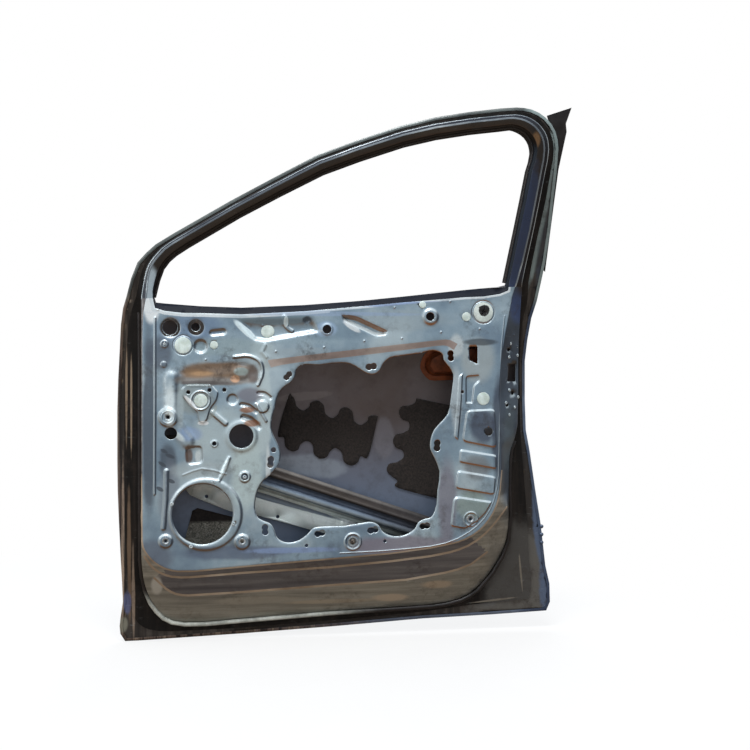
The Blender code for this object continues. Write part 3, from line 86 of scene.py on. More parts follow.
# Accuracy of curves, outlines and triangles
MERGE, CDT_MERGE, TINY, DOT, BLOCK = 1e-7, 1e-6, 1e-12, 1e-5, 4000
CORNER_TURN, TURN_STEP, LOBE_CORNER = radians(50), radians(9), radians(78)
PLACE_ROUNDS, LEAST_MITER = 4, 0.5
SHARP_EDGE, UPRIGHT, SLIVER, HINGE_SIDE_X = radians(52), 0.3, 1e-9, 0.01
COARSE, FINE, PAD_STEP = 0.014, 0.0075, 0.014
RELIEF_MARGIN, SMOOTHING_RADII, SMOOTHING_STEP = 0.004, (0.0018, 0.0036), 0.004

# Widths of the strips along the panel's lines that carry painted highlights and painted reflections of their
# own
SILL_LINE_HALF, FACE_EDGE, FRAME_LINE_HALF = 0.0028, 0.0041, 0.0021
LEDGE_LINE, LEDGE_LINE_HALF = 0.0009, 0.001
BELT_ROLL_FRONT, BELT_ROLL_REAR, BELT_WALL_RISE = 0.0086, 0.0051, 0.035

# The panel's materials, in the order of PANEL_LOOKS: copies of one paint that carry painted highlights, shade
# and reflections by region
(FACE, BELT, BAND, SILL, LATCH, GROOVE, FLANGE, FRAME_FACE, FRAME_SLOPE, RETURN_WALL, LINE, WALL,
 SILL_LOWER, SILL_LINE, BELT_ROLL) = range(15)
RAGGED = 0.9      # how far the noise frays a patch's edge
THROUGH = 1000.0  # the reach of a patch through the door, in metres

# Frame stations from the front foot round to the rear one: the outer edge, the window edge, then the
# places of the lip, ledge line, face line and return line as shares of the way between the two.
FRAME_STATIONS_PX = (
    ((127, 297), (154.4, 297), 0.33, 0.52, 0.7, 0.93), ((131.6, 279), (158.6, 280), 0.3, 0.46, 0.6, 0.88),
    ((138, 263), (163, 268), 0.27, 0.41, 0.54, 0.86), ((147, 253), (169, 260), 0.24, 0.36, 0.5, 0.84),
    ((156, 245), (176, 254), 0.2, 0.31, 0.45, 0.82), ((174, 234), (188, 246.2), 0.18, 0.28, 0.43, 0.8),
    ((230, 202), (240.5, 215.5), 0.18, 0.28, 0.43, 0.8), ((273, 179), (281, 194.2), 0.18, 0.28, 0.43, 0.8),
    ((317, 156), (324.3, 172.5), 0.18, 0.28, 0.44, 0.81), ((355, 142), (361, 159), 0.18, 0.29, 0.45, 0.82),
    ((400, 127), (405.5, 144.5), 0.18, 0.29, 0.47, 0.83), ((434, 118.5), (438, 137), 0.18, 0.3, 0.49, 0.84),
    ((469, 113), (471.5, 131.8), 0.18, 0.31, 0.5, 0.85),
    ((500, 109.5), (501, 128.6), 0.18, 0.32, 0.51, 0.85),
    ((516, 108.5), (512.5, 127.2), 0.19, 0.33, 0.52, 0.86),
    ((531, 110.5), (520, 129.6), 0.19, 0.34, 0.53, 0.86),
    ((545, 118.5), (527.5, 135), 0.19, 0.35, 0.54, 0.86),
    ((554.5, 132), (532, 142.5), 0.18, 0.35, 0.54, 0.85),
    ((557.5, 149), (533.5, 152), 0.16, 0.36, 0.55, 0.84), ((556, 170), (529, 170), 0.19, 0.38, 0.54, 0.87),
    ((552.5, 200), (523, 200), 0.23, 0.43, 0.57, 0.88), ((549.5, 229), (517, 229), 0.32, 0.48, 0.6, 0.9),
    ((544.5, 262), (510, 262), 0.36, 0.52, 0.64, 0.9), ((540, 283), (505.8, 282), 0.34, 0.52, 0.68, 0.9),
)
FRAME_LINES = ("lip", "ledge", "face", "return")

# Lower rims, from the rear foot of the frame down, along the sill and up the hinge side. The third
# number is the depth as a share of rim_depth.
SKIN_LOWER_PX = (
    (536, 301), (530.5, 318), (526.5, 340), (524, 361), (524, 400), (525, 430), (529, 452), (534.5, 490),
    (540, 525), (544.5, 565), (549, 601), (545.5, 609.5), (490, 613.5), (422, 617.5), (330, 625.5),
    (240, 632.5), (138, 639.5), (125.5, 640), (121, 633), (121, 618), (123.5, 601), (122.6, 582),
    (121.4, 560), (119.5, 521), (118.3, 490), (117.9, 461), (117.9, 411), (118.8, 380), (120.3, 350),
    (121.5, 325), (123.5, 309),
)
LIP_LOWER_PX = (
    (527, 303, 0.54), (522.5, 320, 0.64), (520.6, 340, 0.74), (519.5, 361, 0.84), (519.5, 400, 0.92),
    (520.5, 432, 0.94), (522, 455, 0.94), (524.5, 485, 0.95), (527, 520, 0.96), (529, 560, 0.98),
    (531, 588, 1), (528.5, 598.5, 1), (470, 604.5, 1), (422, 611.5, 1), (330, 620, 1), (240, 627.5, 1),
    (170, 631, 1), (149, 629, 1), (139.5, 624, 1), (133, 614, 0.99), (129.5, 600, 0.96), (127.5, 578, 0.88),
    (126, 550, 0.78), (125.2, 521, 0.72), (124.5, 490, 0.7), (124.3, 461, 0.7), (124.3, 411, 0.7),
    (124.8, 380, 0.7), (126.5, 350, 0.68), (128.5, 325, 0.62), (132, 309, 0.55),
)
LEDGE_LOWER_PX = (
    (521, 300, 0.28), (519.8, 320, 0.45), (518.6, 340, 0.55), (518, 361, 0.6), (518, 400, 0.6),
    (517.4, 425, 0.6), (514, 440, 0.6), (510.6, 449, 0.6), (509, 463, 0.6), (508.5, 490, 0.62),
    (508.6, 515, 0.74), (506, 540, 0.84), (500, 555, 0.9), (490, 571.5, 0.93), (475, 588.5, 0.93),
    (460, 597.5, 0.93), (445, 601.5, 0.93), (430, 603.7, 0.93), (380, 607, 0.93), (330, 610.5, 0.93),
    (240, 618, 0.93), (205, 621.2, 0.93), (185, 621.6, 0.93), (173, 619.8, 0.92), (165, 616, 0.9),
    (158.5, 610, 0.86), (152.5, 602, 0.78), (147, 591, 0.6), (143.3, 577, 0.34), (141.6, 562, 0.12),
    (HINGE_WALL_PX, 548, HINGE_TOP_SHARE), (HINGE_WALL_PX, 500, HINGE_TOP_SHARE),
    (HINGE_WALL_PX, 447, HINGE_TOP_SHARE), (HINGE_WALL_PX, 400, HINGE_TOP_SHARE),
    (HINGE_WALL_PX, 360, HINGE_TOP_SHARE), (HINGE_WALL_PX, 330, HINGE_TOP_SHARE),
    (HINGE_WALL_PX, 312, HINGE_TOP_SHARE),
)
FACE_LOWER_PX = (
    (512, 297), (506, 330), (500.5, 363), (498.5, 396), (500, 420), (501.2, 445), (501.3, 470),
    (499.5, 490), (495.5, 506), (488.5, 519), (479, 529.5), (466, 538), (450, 543), (430, 547),
    (391, 552.5), (330, 558), (240, 566), (195, 570.3), (178, 570.5), (166, 568), (156, 562.5),
    (148.5, 555), (143.6, 546.5), (142.6, 534), (142.5, 500), (142.5, 447), (142.5, 400), (142.5, 360),
    (142.5, 330), (143.4, 312),
)
SILL_ROUND_PX = (
    (507, 507, 0.24), (498, 519, 0.2), (485, 533.5, 0.18), (468, 545.5, 0.18), (450, 552, 0.18),
    (430, 556, 0.18), (391, 561, 0.18), (330, 567, 0.18), (240, 572.8, 0.18), (190, 577, 0.18),
    (172, 576.5, 0.18), (160, 572.5, 0.17), (150, 564.5, 0.14), (144.6, 556.5, 0.09),
)
SILL_CREASE_PX = (
    (487, 552, 0.42), (471, 564, 0.47), (445, 572.5, 0.47), (406, 579.5, 0.47), (330, 585, 0.47),
    (240, 592, 0.47), (188, 595.2, 0.47), (176, 593.8, 0.47), (166, 588.5, 0.44), (154.5, 578, 0.38),
)
BELT_EDGE_PX = (
    (504.6, 285.5), (498, 287), (466, 290), (400, 297), (360, 301), (304, 305.2), (242, 307.8),
    (200, 306.3), (165, 303.6), (156, 302.6),
)
BELT_LINE_PX = (
    (508.3, 290.5), (500, 294), (466, 297.3), (400, 302.8), (360, 306.6), (304, 311.4), (242, 314.4),
    (200, 313.2), (165, 311), (155, 308),
)
# The third number is the depth as a share of panel_relief
MODULE_OPENING_PX = (
    (298, 367.7, 1), (320, 365.2, 1), (342, 363, 1), (350, 364, 1), (360, 369.5, 1), (367.7, 373.8, 1),
    (374, 374.4, 1), (379.5, 371, 1), (384, 363, 1), (390, 358, 1), (400, 356, 1), (418, 353.6, 1),
    (438, 351.5, 0.9), (442.5, 354.5, 0.8), (444, 360.5, 0.7), (449, 367, 0.6), (453, 373.5, 0.5),
    (453, 382, 0.4), (450.4, 401, 0.2), (448, 413.5, 0), (442, 421, 0), (434, 430, 0), (431, 438, 0),
    (430.3, 449, 0), (434, 457, 0), (439.5, 471, 0), (437.4, 490, 0), (434.7, 511, 0), (431, 517, 0),
    (424, 519, 0), (419, 521.6, 0), (414.4, 529, 0), (409, 533, 0), (388, 534.5, 0), (382.5, 531, 0),
    (378, 524.6, 0), (373, 522, 0), (361, 523, 0), (344, 525.8, 0), (321, 526.4, 0), (313.5, 527.8, 0),
    (307.4, 534, 0), (299.7, 539.8, 0), (283, 541.3, 0), (277.7, 538, 0), (274.4, 530, 0),
    (270.5, 523.6, 0), (264, 520.8, 0), (258.2, 517.5, 0), (255.7, 512, 0), (255.7, 499, 0),
    (258, 489.5, 0), (263, 481, 0), (273, 472, 0), (278.5, 464.5, 0), (280.3, 451, 0), (274.8, 438, 0),
    (271.2, 427.4, 0), (272.5, 416, 0), (275.3, 405.4, 0.1), (278.4, 394, 0.3), (284, 387, 0.5),
    (291, 382.3, 0.7), (295.2, 376, 0.9), (296, 370.5, 1),
)
BAND_TOP_PX = ((268, 360), (300, 356), (350, 350.2), (400, 344.4), (436, 340.4), (450, 340), (457.5, 344))
BAND_FOOT_PX = (
    (271, 367.5, 0.6), (282, 364.8, 1), (300, 362.2, 1), (350, 356.8, 1), (400, 350.6, 1), (436, 346, 1),
    (447, 346, 0.8), (453, 349.5, 0.4),
)
KEYHOLES_PX = (
    (286.5, 377.6, 289.4, 374.3), (368.9, 367.2, 373.8, 366.4), (450.3, 353.6, 450.7, 358.4),
    (437.4, 443, 437, 448.2), (422.6, 526.3, 427.2, 525.6), (370.6, 530.6, 375.4, 529.6),
    (317.6, 534, 322.2, 533), (265.2, 527.4, 265.4, 532.2), (270.8, 459.6, 270.4, 464.8),
)
KEYHOLES_IN_BAND = 3         # the first keyholes, which lie in the opening's sunken band
KEYHOLE_RADIUS_SHARE = 0.62  # of the distance between a keyhole's two centres
KEYHOLE_TURN = radians(130)  # how far each of its circles runs round, to either side

# Plain holes: centre, radius in metres and the depth they are cut at
HOLES_PX = (
    ((170, 327.6), 0.0172, 0), ((195.6, 327), 0.01, 0), ((327, 329.4), 0.0103, 0),
    ((241.4, 436.2), 0.0278, 0), ((171, 433.4), 0.014, 0), ((164.4, 344), 0.004, 0),
    ((214.4, 443.7), 0.005, 0), ((244.7, 476.7), 0.008, 0), ((224.4, 390), 0.0045, 0),
    ((273.6, 450), 0.0058, 0), ((430.3, 316.8), 0.01, -panel_relief),
    ((188.4, 392.4), 0.0045, -panel_relief), ((209.6, 390.2), 0.0045, -panel_relief),
    ((462.3, 392), 0.004, 0), ((306.6, 545.5), 0.0038, 0), ((385, 541), 0.0038, 0),
)
LATCH_SLOT_PX = ((469, 346.5), (477.6, 346.5), (477.6, 364), (469.6, 360.5))
SPEAKER_PX = (202.5, 514.2)
speaker_radius = 0.0695
speaker_ring_radius = 0.0875
speaker_ring_shift = 0.007     # ring's middle to the rear of the speaker's
speaker_screw_radius = 0.0034
speaker_screw_reach = 0.0770   # speaker's middle to its screws
SPEAKER_SCREW_TURNS = (radians(71), radians(250), radians(343))
LATCH_NOTCH_PX = ((508.3, 364.6), (515.6, 363.4), (515.6, 381.6), (507.2, 381.6))
LATCH_BOLTS_PX = ((508.5, 350), (512.4, 393), (507, 405))
LATCH_BOLT_RADIUS_PX = 1.9
# The sloping latch face: its trim edge above and below the bend, its far edge and its depth there
LATCH_BEND = (500.5, 363)
LATCH_EDGE_SLOPE_SHARE = 0.16
LATCH_LOWER_EDGE_PX = 499.0
LATCH_FAR_EDGE_PX = 518.2
LATCH_DEPTH_SHARE = 0.60     # of rim_depth

# Blanking plugs: centre and cap radius, and the depth of the face they close
PLUGS_PX = {
    "plug_front_large": ((183, 345.3), 0.0193, 0), "plug_front_small": ((214, 345), 0.0094, 0),
    "plug_recess": ((267.7, 331.5), 0.0155, pocket_relief),
    "plug_handle_pad": ((200.8, 400.4), 0.0153, -panel_relief), "plug_belt": ((422.5, 304.8), 0.0085, 0),
    "plug_rear_small": ((466.3, 316.8), 0.0108, 0), "plug_rear_torn": ((483.2, 312.3), 0.024, 0),
    "plug_latch": ((483.2, 398.6), 0.0155, 0),
}
# Threaded inserts: centre and flange radius, and the depth of the face they sit on
INSERTS_PX = {
    "insert_front": ((168, 417.1), 0.0085, -panel_relief),
    "insert_front_lower": ((165.6, 541), 0.0085, -panel_relief),
    "insert_speaker": ((242.2, 541.6), 0.0085, -panel_relief),
    "insert_rear_lower": ((470.4, 518.8), 0.01, -panel_relief), "insert_sill": ((352.8, 541.4), 0.012, 0),
}
TRIM_CLIP_PX = ((488.5, 431.2), 0.01, -panel_relief)
PAD_FRONT_PX = (
    (288.5, 396.5), (292, 396), (295, 400), (296.5, 406), (303, 410.5), (309, 407), (311, 402.5),
    (317.5, 400.5), (323.5, 405), (325.5, 413.5), (332, 418), (338, 414), (340.5, 409), (346.5, 407.3),
    (352.5, 412), (354, 420.5), (360.5, 425), (367, 421), (369, 416.5), (374, 415.3), (378, 416.3),
    (368.5, 455.5), (361, 456), (357.5, 462.5), (351, 465.5), (344, 461.5), (341.5, 452), (335, 448),
    (330, 451.5), (326.5, 457), (320, 458.5), (314, 453.5), (312.5, 444.5), (306.5, 441), (300.5, 444.5),
    (298, 449.5), (292, 451.2), (285.5, 446.5), (284, 437.5), (278, 433.5),
)
PAD_REAR_PX = (
    (416.5, 398.3), (449, 405), (449, 410), (440, 499), (397.5, 487.5), (397.5, 481), (392, 476.5),
    (387, 471), (389, 464), (397, 462), (403.5, 457), (402.5, 450.5), (396, 447.5), (393, 441),
    (396, 434.5), (403, 433), (409, 428.5), (408.5, 422), (402.5, 419.5), (399, 413), (401.5, 406.5),
    (408.5, 405.5), (414.5, 403),
)
HANDLE_CUP_PX = (
    (428, 357), (442, 350), (486, 344), (497, 351), (497, 366), (488, 373), (431, 375.5), (424.5, 367),
)
# The impact beam's lower flange, its holes and the path of its bead
BEAM_FLANGE_PX = (
    (186, 478), (185, 489), (190, 495), (201, 499.7), (229.4, 510.9), (256.8, 515), (314, 530.5),
    (352, 540), (357, 522), (190, 467),
)
BEAM_HOLES_PX = ((206.5, 496.2), (277.6, 516.5))
BEAM_BEAD_PX = ((200, 476.2), (340, 520.5))
# The pressed forms of the trim face, by picture place: outline, depth, wall width and corner share
POCKETS = (
    (((341, 314.5), (356, 316), (388.5, 331), (386, 335.5), (376, 336.5), (343, 321)), 0.012, 0.009, 0.25),
    (((177, 371.5), (184, 366), (205, 362.5), (246, 359.5), (256.5, 364), (259, 376), (252, 384.5),
      (238, 385), (222, 382), (183, 383.5)), 0.0035, 0.016, 0.3),
    (((181, 388.5), (186, 384.5), (196, 384), (212, 384.5), (219, 392), (217, 401), (211, 408),
      (207.5, 420), (203.5, 424), (198.5, 422), (197, 412.5), (186.5, 402), (181.5, 396)),
      -0.0045, 0.0035, 0.3),
    (((184.5, 446.5), (203, 444.5), (204, 464), (186.5, 466)), 0.0045, 0.006, 0.3),
    (((465.5, 375.5), (479.5, 374.3), (480.5, 381), (475, 386), (473, 403.5), (465.5, 403.8)),
      0.0045, 0.004, 0.25),
    (((466, 410), (495, 408.5), (497, 448.5), (461.5, 441.5)), -0.0045, 0.0042, 0.16),
    (((459.6, 449), (496.6, 454.8), (496.6, 469.4), (458.6, 462.4)), -0.0045, 0.0042, 0.2),
    (((457, 469.8), (496, 476.3), (494.4, 495.2), (454.8, 488.4)), -0.0045, 0.0042, 0.2),
    (((453.4, 495.4), (492.5, 501.2), (486, 512.6), (477, 521.5), (465, 529), (450, 526.2)),
      -0.0045, 0.0042, 0.2),
    (((458, 376), (463.5, 372), (463.5, 372.5), (461.8, 404), (458.4, 441), (453.5, 437), (456, 405)),
      -0.003, 0.0045, 0.3),
)
# Path, half width, depth and width of the wall
BEADS = (
    (((155, 318), (155, 400), (154.6, 494)), 0.0038, -0.0026, 0.0036),
    (((166.4, 471), (165.6, 500), (163.4, 528)), 0.0068, -0.005, 0.005),
    (((212.5, 332.9), (223.5, 331.8)), 0.009, 0.005, 0.006),
    (((284.5, 316.5), (286, 326), (292, 331)), 0.007, -0.0035, 0.0055),
    (((234, 357), (250, 356.2), (260, 362), (262.5, 372), (258, 385)), 0.006, -0.0035, 0.006),
    (((171, 378), (171, 400), (175, 424), (187, 441)), 0.023, -0.006, 0.019),
    (((258.5, 393), (264.5, 393.5), (270.5, 398)), 0.006, 0.0045, 0.005),
    (((241.5, 404.5), (249, 406), (256, 411.8)), 0.0065, 0.0045, 0.0055),
    (((243.5, 417), (251, 419.5), (258.5, 427)), 0.0085, 0.006, 0.007),
    (((256, 404), (262, 414), (266, 421)), 0.005, -0.003, 0.005),
    (((212.5, 412.5), (225.5, 423.5)), 0.008, -0.0042, 0.006),
    (((219, 480), (224, 470), (229, 458)), 0.007, -0.003, 0.007),
    (((504.5, 316), (501.5, 345), (500, 380), (499.6, 430), (498.6, 475), (494, 500), (484.5, 518),
      (469, 532), (446, 543), (415, 548), (380, 551), (340, 553)), 0.0026, -0.0014, 0.0034),
    (((265, 345.5), (262, 352), (266.5, 357)), 0.007, -0.002, 0.007),
    (((183, 475), (202, 468.5), (226, 474)), 0.004, -0.0012, 0.004),
)
# Centre, radius, depth and width of the wall
DOMES = (
    ((170.3, 327.8), 0.026, 0.003, 0.0075), ((196, 327.2), 0.023, 0.0035, 0.011),
    ((307, 320), 0.009, 0.0035, 0.006), ((430.3, 316.8), 0.0225, -0.0045, 0.009),
    ((200.6, 346.4), 0.018, 0.006, 0.0065), ((241, 372.5), 0.021, -0.0035, 0.011),
    ((262.6, 406.4), 0.0165, -0.0042, 0.0045), ((232.5, 399.5), 0.015, 0.004, 0.006),
    ((168, 417.1), 0.0245, -0.0045, 0.006), ((241.4, 436.2), 0.042, -0.0035, 0.012),
    ((244.7, 476.7), 0.016, -0.003, 0.006), ((242.2, 541.6), 0.02, -0.0045, 0.006),
    ((165.6, 541), 0.018, -0.0045, 0.006), ((327, 329.4), 0.0175, -0.002, 0.007),
    ((164.4, 344), 0.011, -0.0018, 0.004), ((163.7, 364.5), 0.01, -0.0022, 0.006),
    ((214.4, 443.7), 0.011, -0.0018, 0.005), ((267.7, 331.5), 0.021, 0.0004, 0.004),
)
# Centre, radius, half width of the bead and depth
RINGS = (
    ((200.6, 400.4), 0.0215, 0.0036, -0.0018), ((168, 417.1), 0.0145, 0.003, -0.0012),
    ((352.8, 541.4), 0.0185, 0.0042, -0.0024), ((470.4, 518.8), 0.0165, 0.0036, -0.0016),
    ((483.2, 312.3), 0.0275, 0.0026, 0.0012), ((183, 345.3), 0.0228, 0.0026, 0.001),
)
# Small round dents, and spot welds on the latch face
DIMPLES = (
    (205.7, 359.6), (233.7, 357), (275.8, 351.5), (324, 347.3), (364.2, 341), (401.8, 338.4),
    (440.9, 332.2), (479.6, 328.9), (394.5, 307.4), (450, 301.6), (263, 325.5), (158, 309.5), (183, 311.2),
)
WELDS = (
    (513.2, 335), (510.4, 343.5), (517, 346.6), (509, 357), (517.3, 355.3), (509.4, 390), (518, 397),
    (506, 402.8), (514.6, 407.2), (509.2, 414.7),
)
RECESS = ((232, 317), (314, 315), (320, 333), (264, 343), (254, 341))  # upper recess, fading out at its top
RECESS_TOP = ((232, 317), (318, 315))
# Where the trim face ends and the window frame's feet begin
SHOULDER_PX = ((110, 299.5), (560, 285.5))

# Patches of tone: picture place, half width and height, colour, weight, then softness of the edge,
# turn and depth where they aren't the usual ones. Down the front and rear rims: stripes of painted highlight
# on the ridges and painted shadow in the gap along the hem, with stains:
RIM_PATCHES = (
    ((119.8, 540), (1.7, 105), "AE9A88", 0.95, 0.4), ((123.2, 500), (1.9, 130), "15110F", 0.9, 0.4),
    ((127, 560), (2.6, 80), "7A6654", 0.9, 0.5), ((124.5, 609), (4.5, 13), "62688C", 0.9, 0.4),
    ((131, 600), (2, 60), "9A8878", 0.9, 0.5), ((120, 632), (6, 9), "8C8A7C", 0.85, 0.4),
    ((124.5, 400), (1.6, 60), "94826E", 0.9, 0.4), ((129.5, 410), (1.4, 60), "A6937E", 0.85, 0.4),
)
# Painted highlights, painted shade and painted sky and floor reflections on the trim face, under and over the
# tones of its slopes
FACE_PATCHES = (
    ((205, 505), (52, 50), "B4C6CC", 0.7), ((149, 420), (8, 110), "55616E", 0.85),
    ((152, 308), (9, 18), "F4FAFC", 0.95), ((190, 330), (40, 20), "6A82A2", 0.6),
    ((225, 440), (40, 40), "C4D6DA", 0.7), ((262, 350), (14, 14), "C4D6DA", 0.7),
    ((160, 354), (15, 22), "596170", 0.7), ((225, 347), (50, 12), "9FB4B8", 0.55),
    ((300, 340), (60, 6), "9DB4C0", 0.6), ((168, 460), (10, 20), "4E5660", 0.7),
    ((150, 558), (26, 22), "667080", 0.75), ((170, 502), (12, 46), "7F8896", 0.6),
    ((247, 472), (20, 46), "CBDEDF", 0.85), ((264, 405), (9, 62), "C9DADD", 0.8),
    ((205, 470), (34, 13), "BFCED2", 0.65), ((240, 552), (70, 9), "5C6880", 0.7),
    ((290, 550), (58, 4), "8FA6CE", 0.85), ((400, 546), (62, 13), "8A808C", 0.75),
    ((447, 500), (13, 54), "86828F", 0.75), ((478, 362), (20, 28), "B4BFC0", 0.7),
    ((480, 342), (20, 4), "3E444A", 0.75), ((499, 430), (9, 70), "434B5C", 0.8),
    ((456, 345), (9, 15), "D2DCDE", 0.8), ((300, 352), (40, 6), "A6B6BE", 0.6),
    ((330, 331), (60, 11), "7F97A8", 0.6), ((410, 320), (60, 13), "A3B3BA", 0.6),
    ((326, 329), (14, 9), "A9C4E0", 0.7), ((456, 400), (8, 40), "C2CED2", 0.7),
    ((482, 426), (17, 22), "4A5468", 0.85), ((476, 468), (18, 16), "868C90", 0.8),
    ((471, 505), (20, 20), "94A49C", 0.7), ((300, 313.5), (150, 3), "9FB6D2", 0.7),
    ((195, 400), (24, 18), "9AA6A6", 0.8), ((188, 434), (16, 9), "8FA8D0", 0.6),
)
FACE_OVER = (
    ((272, 318.5), (50, 7), "8198A6", 0.95, 0.35), ((214, 379.5), (46, 7.5), "827C76", 0.95, 0.3),
    ((216, 370), (42, 11), "97806A", 0.9, 0.35), ((205, 383), (34, 3), "6E6A68", 0.9, 0.4),
    ((180, 406), (5, 30), "B4C4C8", 0.9, 0.6), ((199, 385.6), (18, 2.6), "7E8A8C", 0.95, 0.3),
    ((191, 403), (11, 2.6), "F4FAFC", 0.95, 0.3, 0.85), ((203, 423), (6, 2.4), "F4FAFC", 0.95, 0.3),
    ((213, 412), (9, 2.6), "A8B4B4", 0.9, 0.3, -1.05), ((198, 373), (24, 6.5), "A08468", 0.95, 0.6),
    ((203, 373.5), (17, 3.5), "C9A37C", 0.95, 0.6), ((241, 371.5), (9, 5), "A9BAB8", 0.95, 0.4),
    ((235, 379), (6, 4.5), "D2A684", 0.95, 0.4), ((253, 374), (6, 11), "736862", 0.85, 0.5),
    ((170.5, 404), (6.5, 32), "EEFCFF", 0.95, 0.7), ((179, 436), (10, 4), "E8FAFF", 0.85, 0.6, 0.75),
    ((246, 331), (17, 4), "E8FAFF", 0.95, 0.3, 0.73), ((286, 321.5), (2.6, 6.5), "E8FAFF", 0.9, 0.3),
    ((305, 333), (20, 3), "D5E4EE", 0.85, 0.5, -0.13), ((352, 327), (12, 3.4), "EAF2F4", 0.9, 0.4, 0.55),
    ((247, 410), (9, 3.5), "9A6A48", 0.85, 0.4), ((252, 423), (9, 4), "9A6A48", 0.85, 0.4),
    ((189, 456), (5, 9), "6E5648", 0.8, 0.5), ((224, 468), (3.4, 14), "E8FAFF", 0.9, 0.5, 0.35),
    ((307, 320), (6, 5), "3A4552", 0.8, 0.5), ((198, 457), (4, 9), "DCE8EA", 0.85, 0.5),
    ((164, 451), (4, 1.8), "4A525C", 0.8, 0.2, 0.5), ((170, 456), (5, 1.8), "4A525C", 0.8, 0.2, 0.4),
    ((162, 464), (4.5, 1.8), "4A525C", 0.8, 0.2, 0.6), ((171, 481), (4, 1.8), "4A525C", 0.8, 0.2, 0.4),
    ((160, 489), (4, 2), "4A525C", 0.8, 0.2, 0.5), ((250, 395), (15, 9), "7C7680", 0.7, 0.5),
    ((268, 470), (3, 30), "E4EEF0", 0.8, 0.6),
)
SKIN_PATCHES = (
    ((385, 440), (12, 26), "85848C", 0.5, 0.3, 0, 0.1),
    ((300, 500), (30, 8), "90A0B4", 0.5, 0.3, 0.25, 0.1),
    ((310, 466), (44, 14), "98A2AE", 0.7, 0.3, 0.1, 0.1),
    ((306, 396), (36, 5), "857F80", 0.6, 0.3, -0.1, 0.1),
)
# Painted pale and tan reflections and painted shade on the sill slopes
SILL_PATCHES = (
    ((156, 588), (7, 12), "BDBAB0", 0.9), ((440, 588), (22, 6), "B3A28C", 0.9),
    ((395, 602), (24, 5), "C0B09A", 0.9), ((330, 606), (60, 3), "B0A490", 0.8),
    ((260, 604), (60, 5), "A8A294", 0.7), ((290, 566), (60, 4), "6E6864", 0.7),
    ((500, 560), (16, 20), "7E7C74", 0.7), ((514, 476), (20, 52), "46525E", 0.97, 0.6),
)
REAR_PATCHES = (
    ((520, 590), (60, 60), "66645F", 0.95, 0.2), ((552, 470), (14, 210), "5C6C86", 0.95, 0.2, -0.05),
    ((352, 628), (160, 9), "1E1B1A", 0.9, 0.4), ((546, 205), (8, 112), "93A3A2", 0.95, 0.3, 0.125),
)


def ray(px, py, behind):
    across = (px - PICTURE_MIDDLE) / FOCAL_PX
    drop = (py - PICTURE_MIDDLE) / FOCAL_PX
    reach = (view_distance * cos(VIEW_YAW) + behind) / (cos(VIEW_YAW) - across * sin(VIEW_YAW))
    x = reach * (sin(VIEW_YAW) + across * cos(VIEW_YAW)) - view_distance * sin(VIEW_YAW)
    return x, -reach * drop


hinge_top_depth = HINGE_TOP_SHARE * rim_depth
hinge_x, hinge_z = ray(HINGE_WALL_PX, HINGE_UPPER_PY, hinge_top_depth)
length_scale = door_length / (ray(*TIP_PX, 0)[0] - ray(HINGE_WALL_PX, HINGE_UPPER_PY, 0)[0])
height_scale = door_height / (ray(*TIP_PX, 0)[1] - ray(*FOOT_PX, 0)[1])
belt_z = (ray(HINGE_WALL_PX, BELT_PY, 0)[1] - hinge_z) * height_scale
sill_z = (ray(HINGE_WALL_PX, SILL_PY, rim_depth)[1] - hinge_z) * height_scale
rear_x = (ray(REAR_EDGE_PX, HINGE_UPPER_PY, waist_skin_depth)[0] - hinge_x) * length_scale


def lean(z):
    """How far the leaning window frame stands inboard at height z."""
    rise = z - belt_z
    if rise <= 0:
        return 0.0
    if rise < frame_lean_round:
        return -FRAME_LEAN * rise * rise / (2 * frame_lean_round)
    return -FRAME_LEAN * (rise - frame_lean_round / 2)


def clamp(value):
    return min(max(value, 0.0), 1.0)


def skin_rim(x, z):
    share = clamp((belt_fade * BELT_FADE_ABOVE_SHARE - (z - belt_z)) / belt_fade)
    share = share * share * (3 - 2 * share)
    below = clamp((belt_z - z) / (belt_z - sill_z))
    return frame_skin_depth + (waist_skin_depth - frame_skin_depth) * share - sill_tuck * below * below


def skin_depth(x, z):
    along, down = clamp(x / rear_x), clamp((belt_z - z) / (belt_z - sill_z))
    return skin_rim(x, z) + skin_bulge * 4 * along * (1 - along) * 4 * down * (1 - down)


def place(px, py, depth=0.0):
    """The point in metres that the picture shows at a pixel, `depth` behind the trim face."""
    x = z = 0.0
    for _ in range(PLACE_ROUNDS):
        behind = (depth(x, z) if callable(depth) else depth) + lean(z)
        ray_x, ray_z = ray(px, py, behind)
        x, z = (ray_x - hinge_x) * length_scale, (ray_z - hinge_z) * height_scale
    return Vector((x, behind - hinge_mount_depth, z))


def at_depth(point, depth):
    return Vector((point.x, depth + lean(point.z) - hinge_mount_depth, point.z))


def depth_of(point):
    return point.y - lean(point.z) + hinge_mount_depth


def plan(px, py, depth=0.0):
    spot = place(px, py, depth)
    return (spot.x, spot.z)


def in_plan(line):
    return [(p.x, p.z) for p in line]


def full_turn(count):
    return [2 * pi * k / count for k in range(count)]


def curve(start, away, end, home, t):
    """A place on the curve that leaves one point and arrives at the next in the given directions."""
    return (
        start * (2 * t**3 - 3 * t**2 + 1) + away * (t**3 - 2 * t**2 + t)
        + end * (-2 * t**3 + 3 * t**2) + home * (t**3 - t**2)
    )


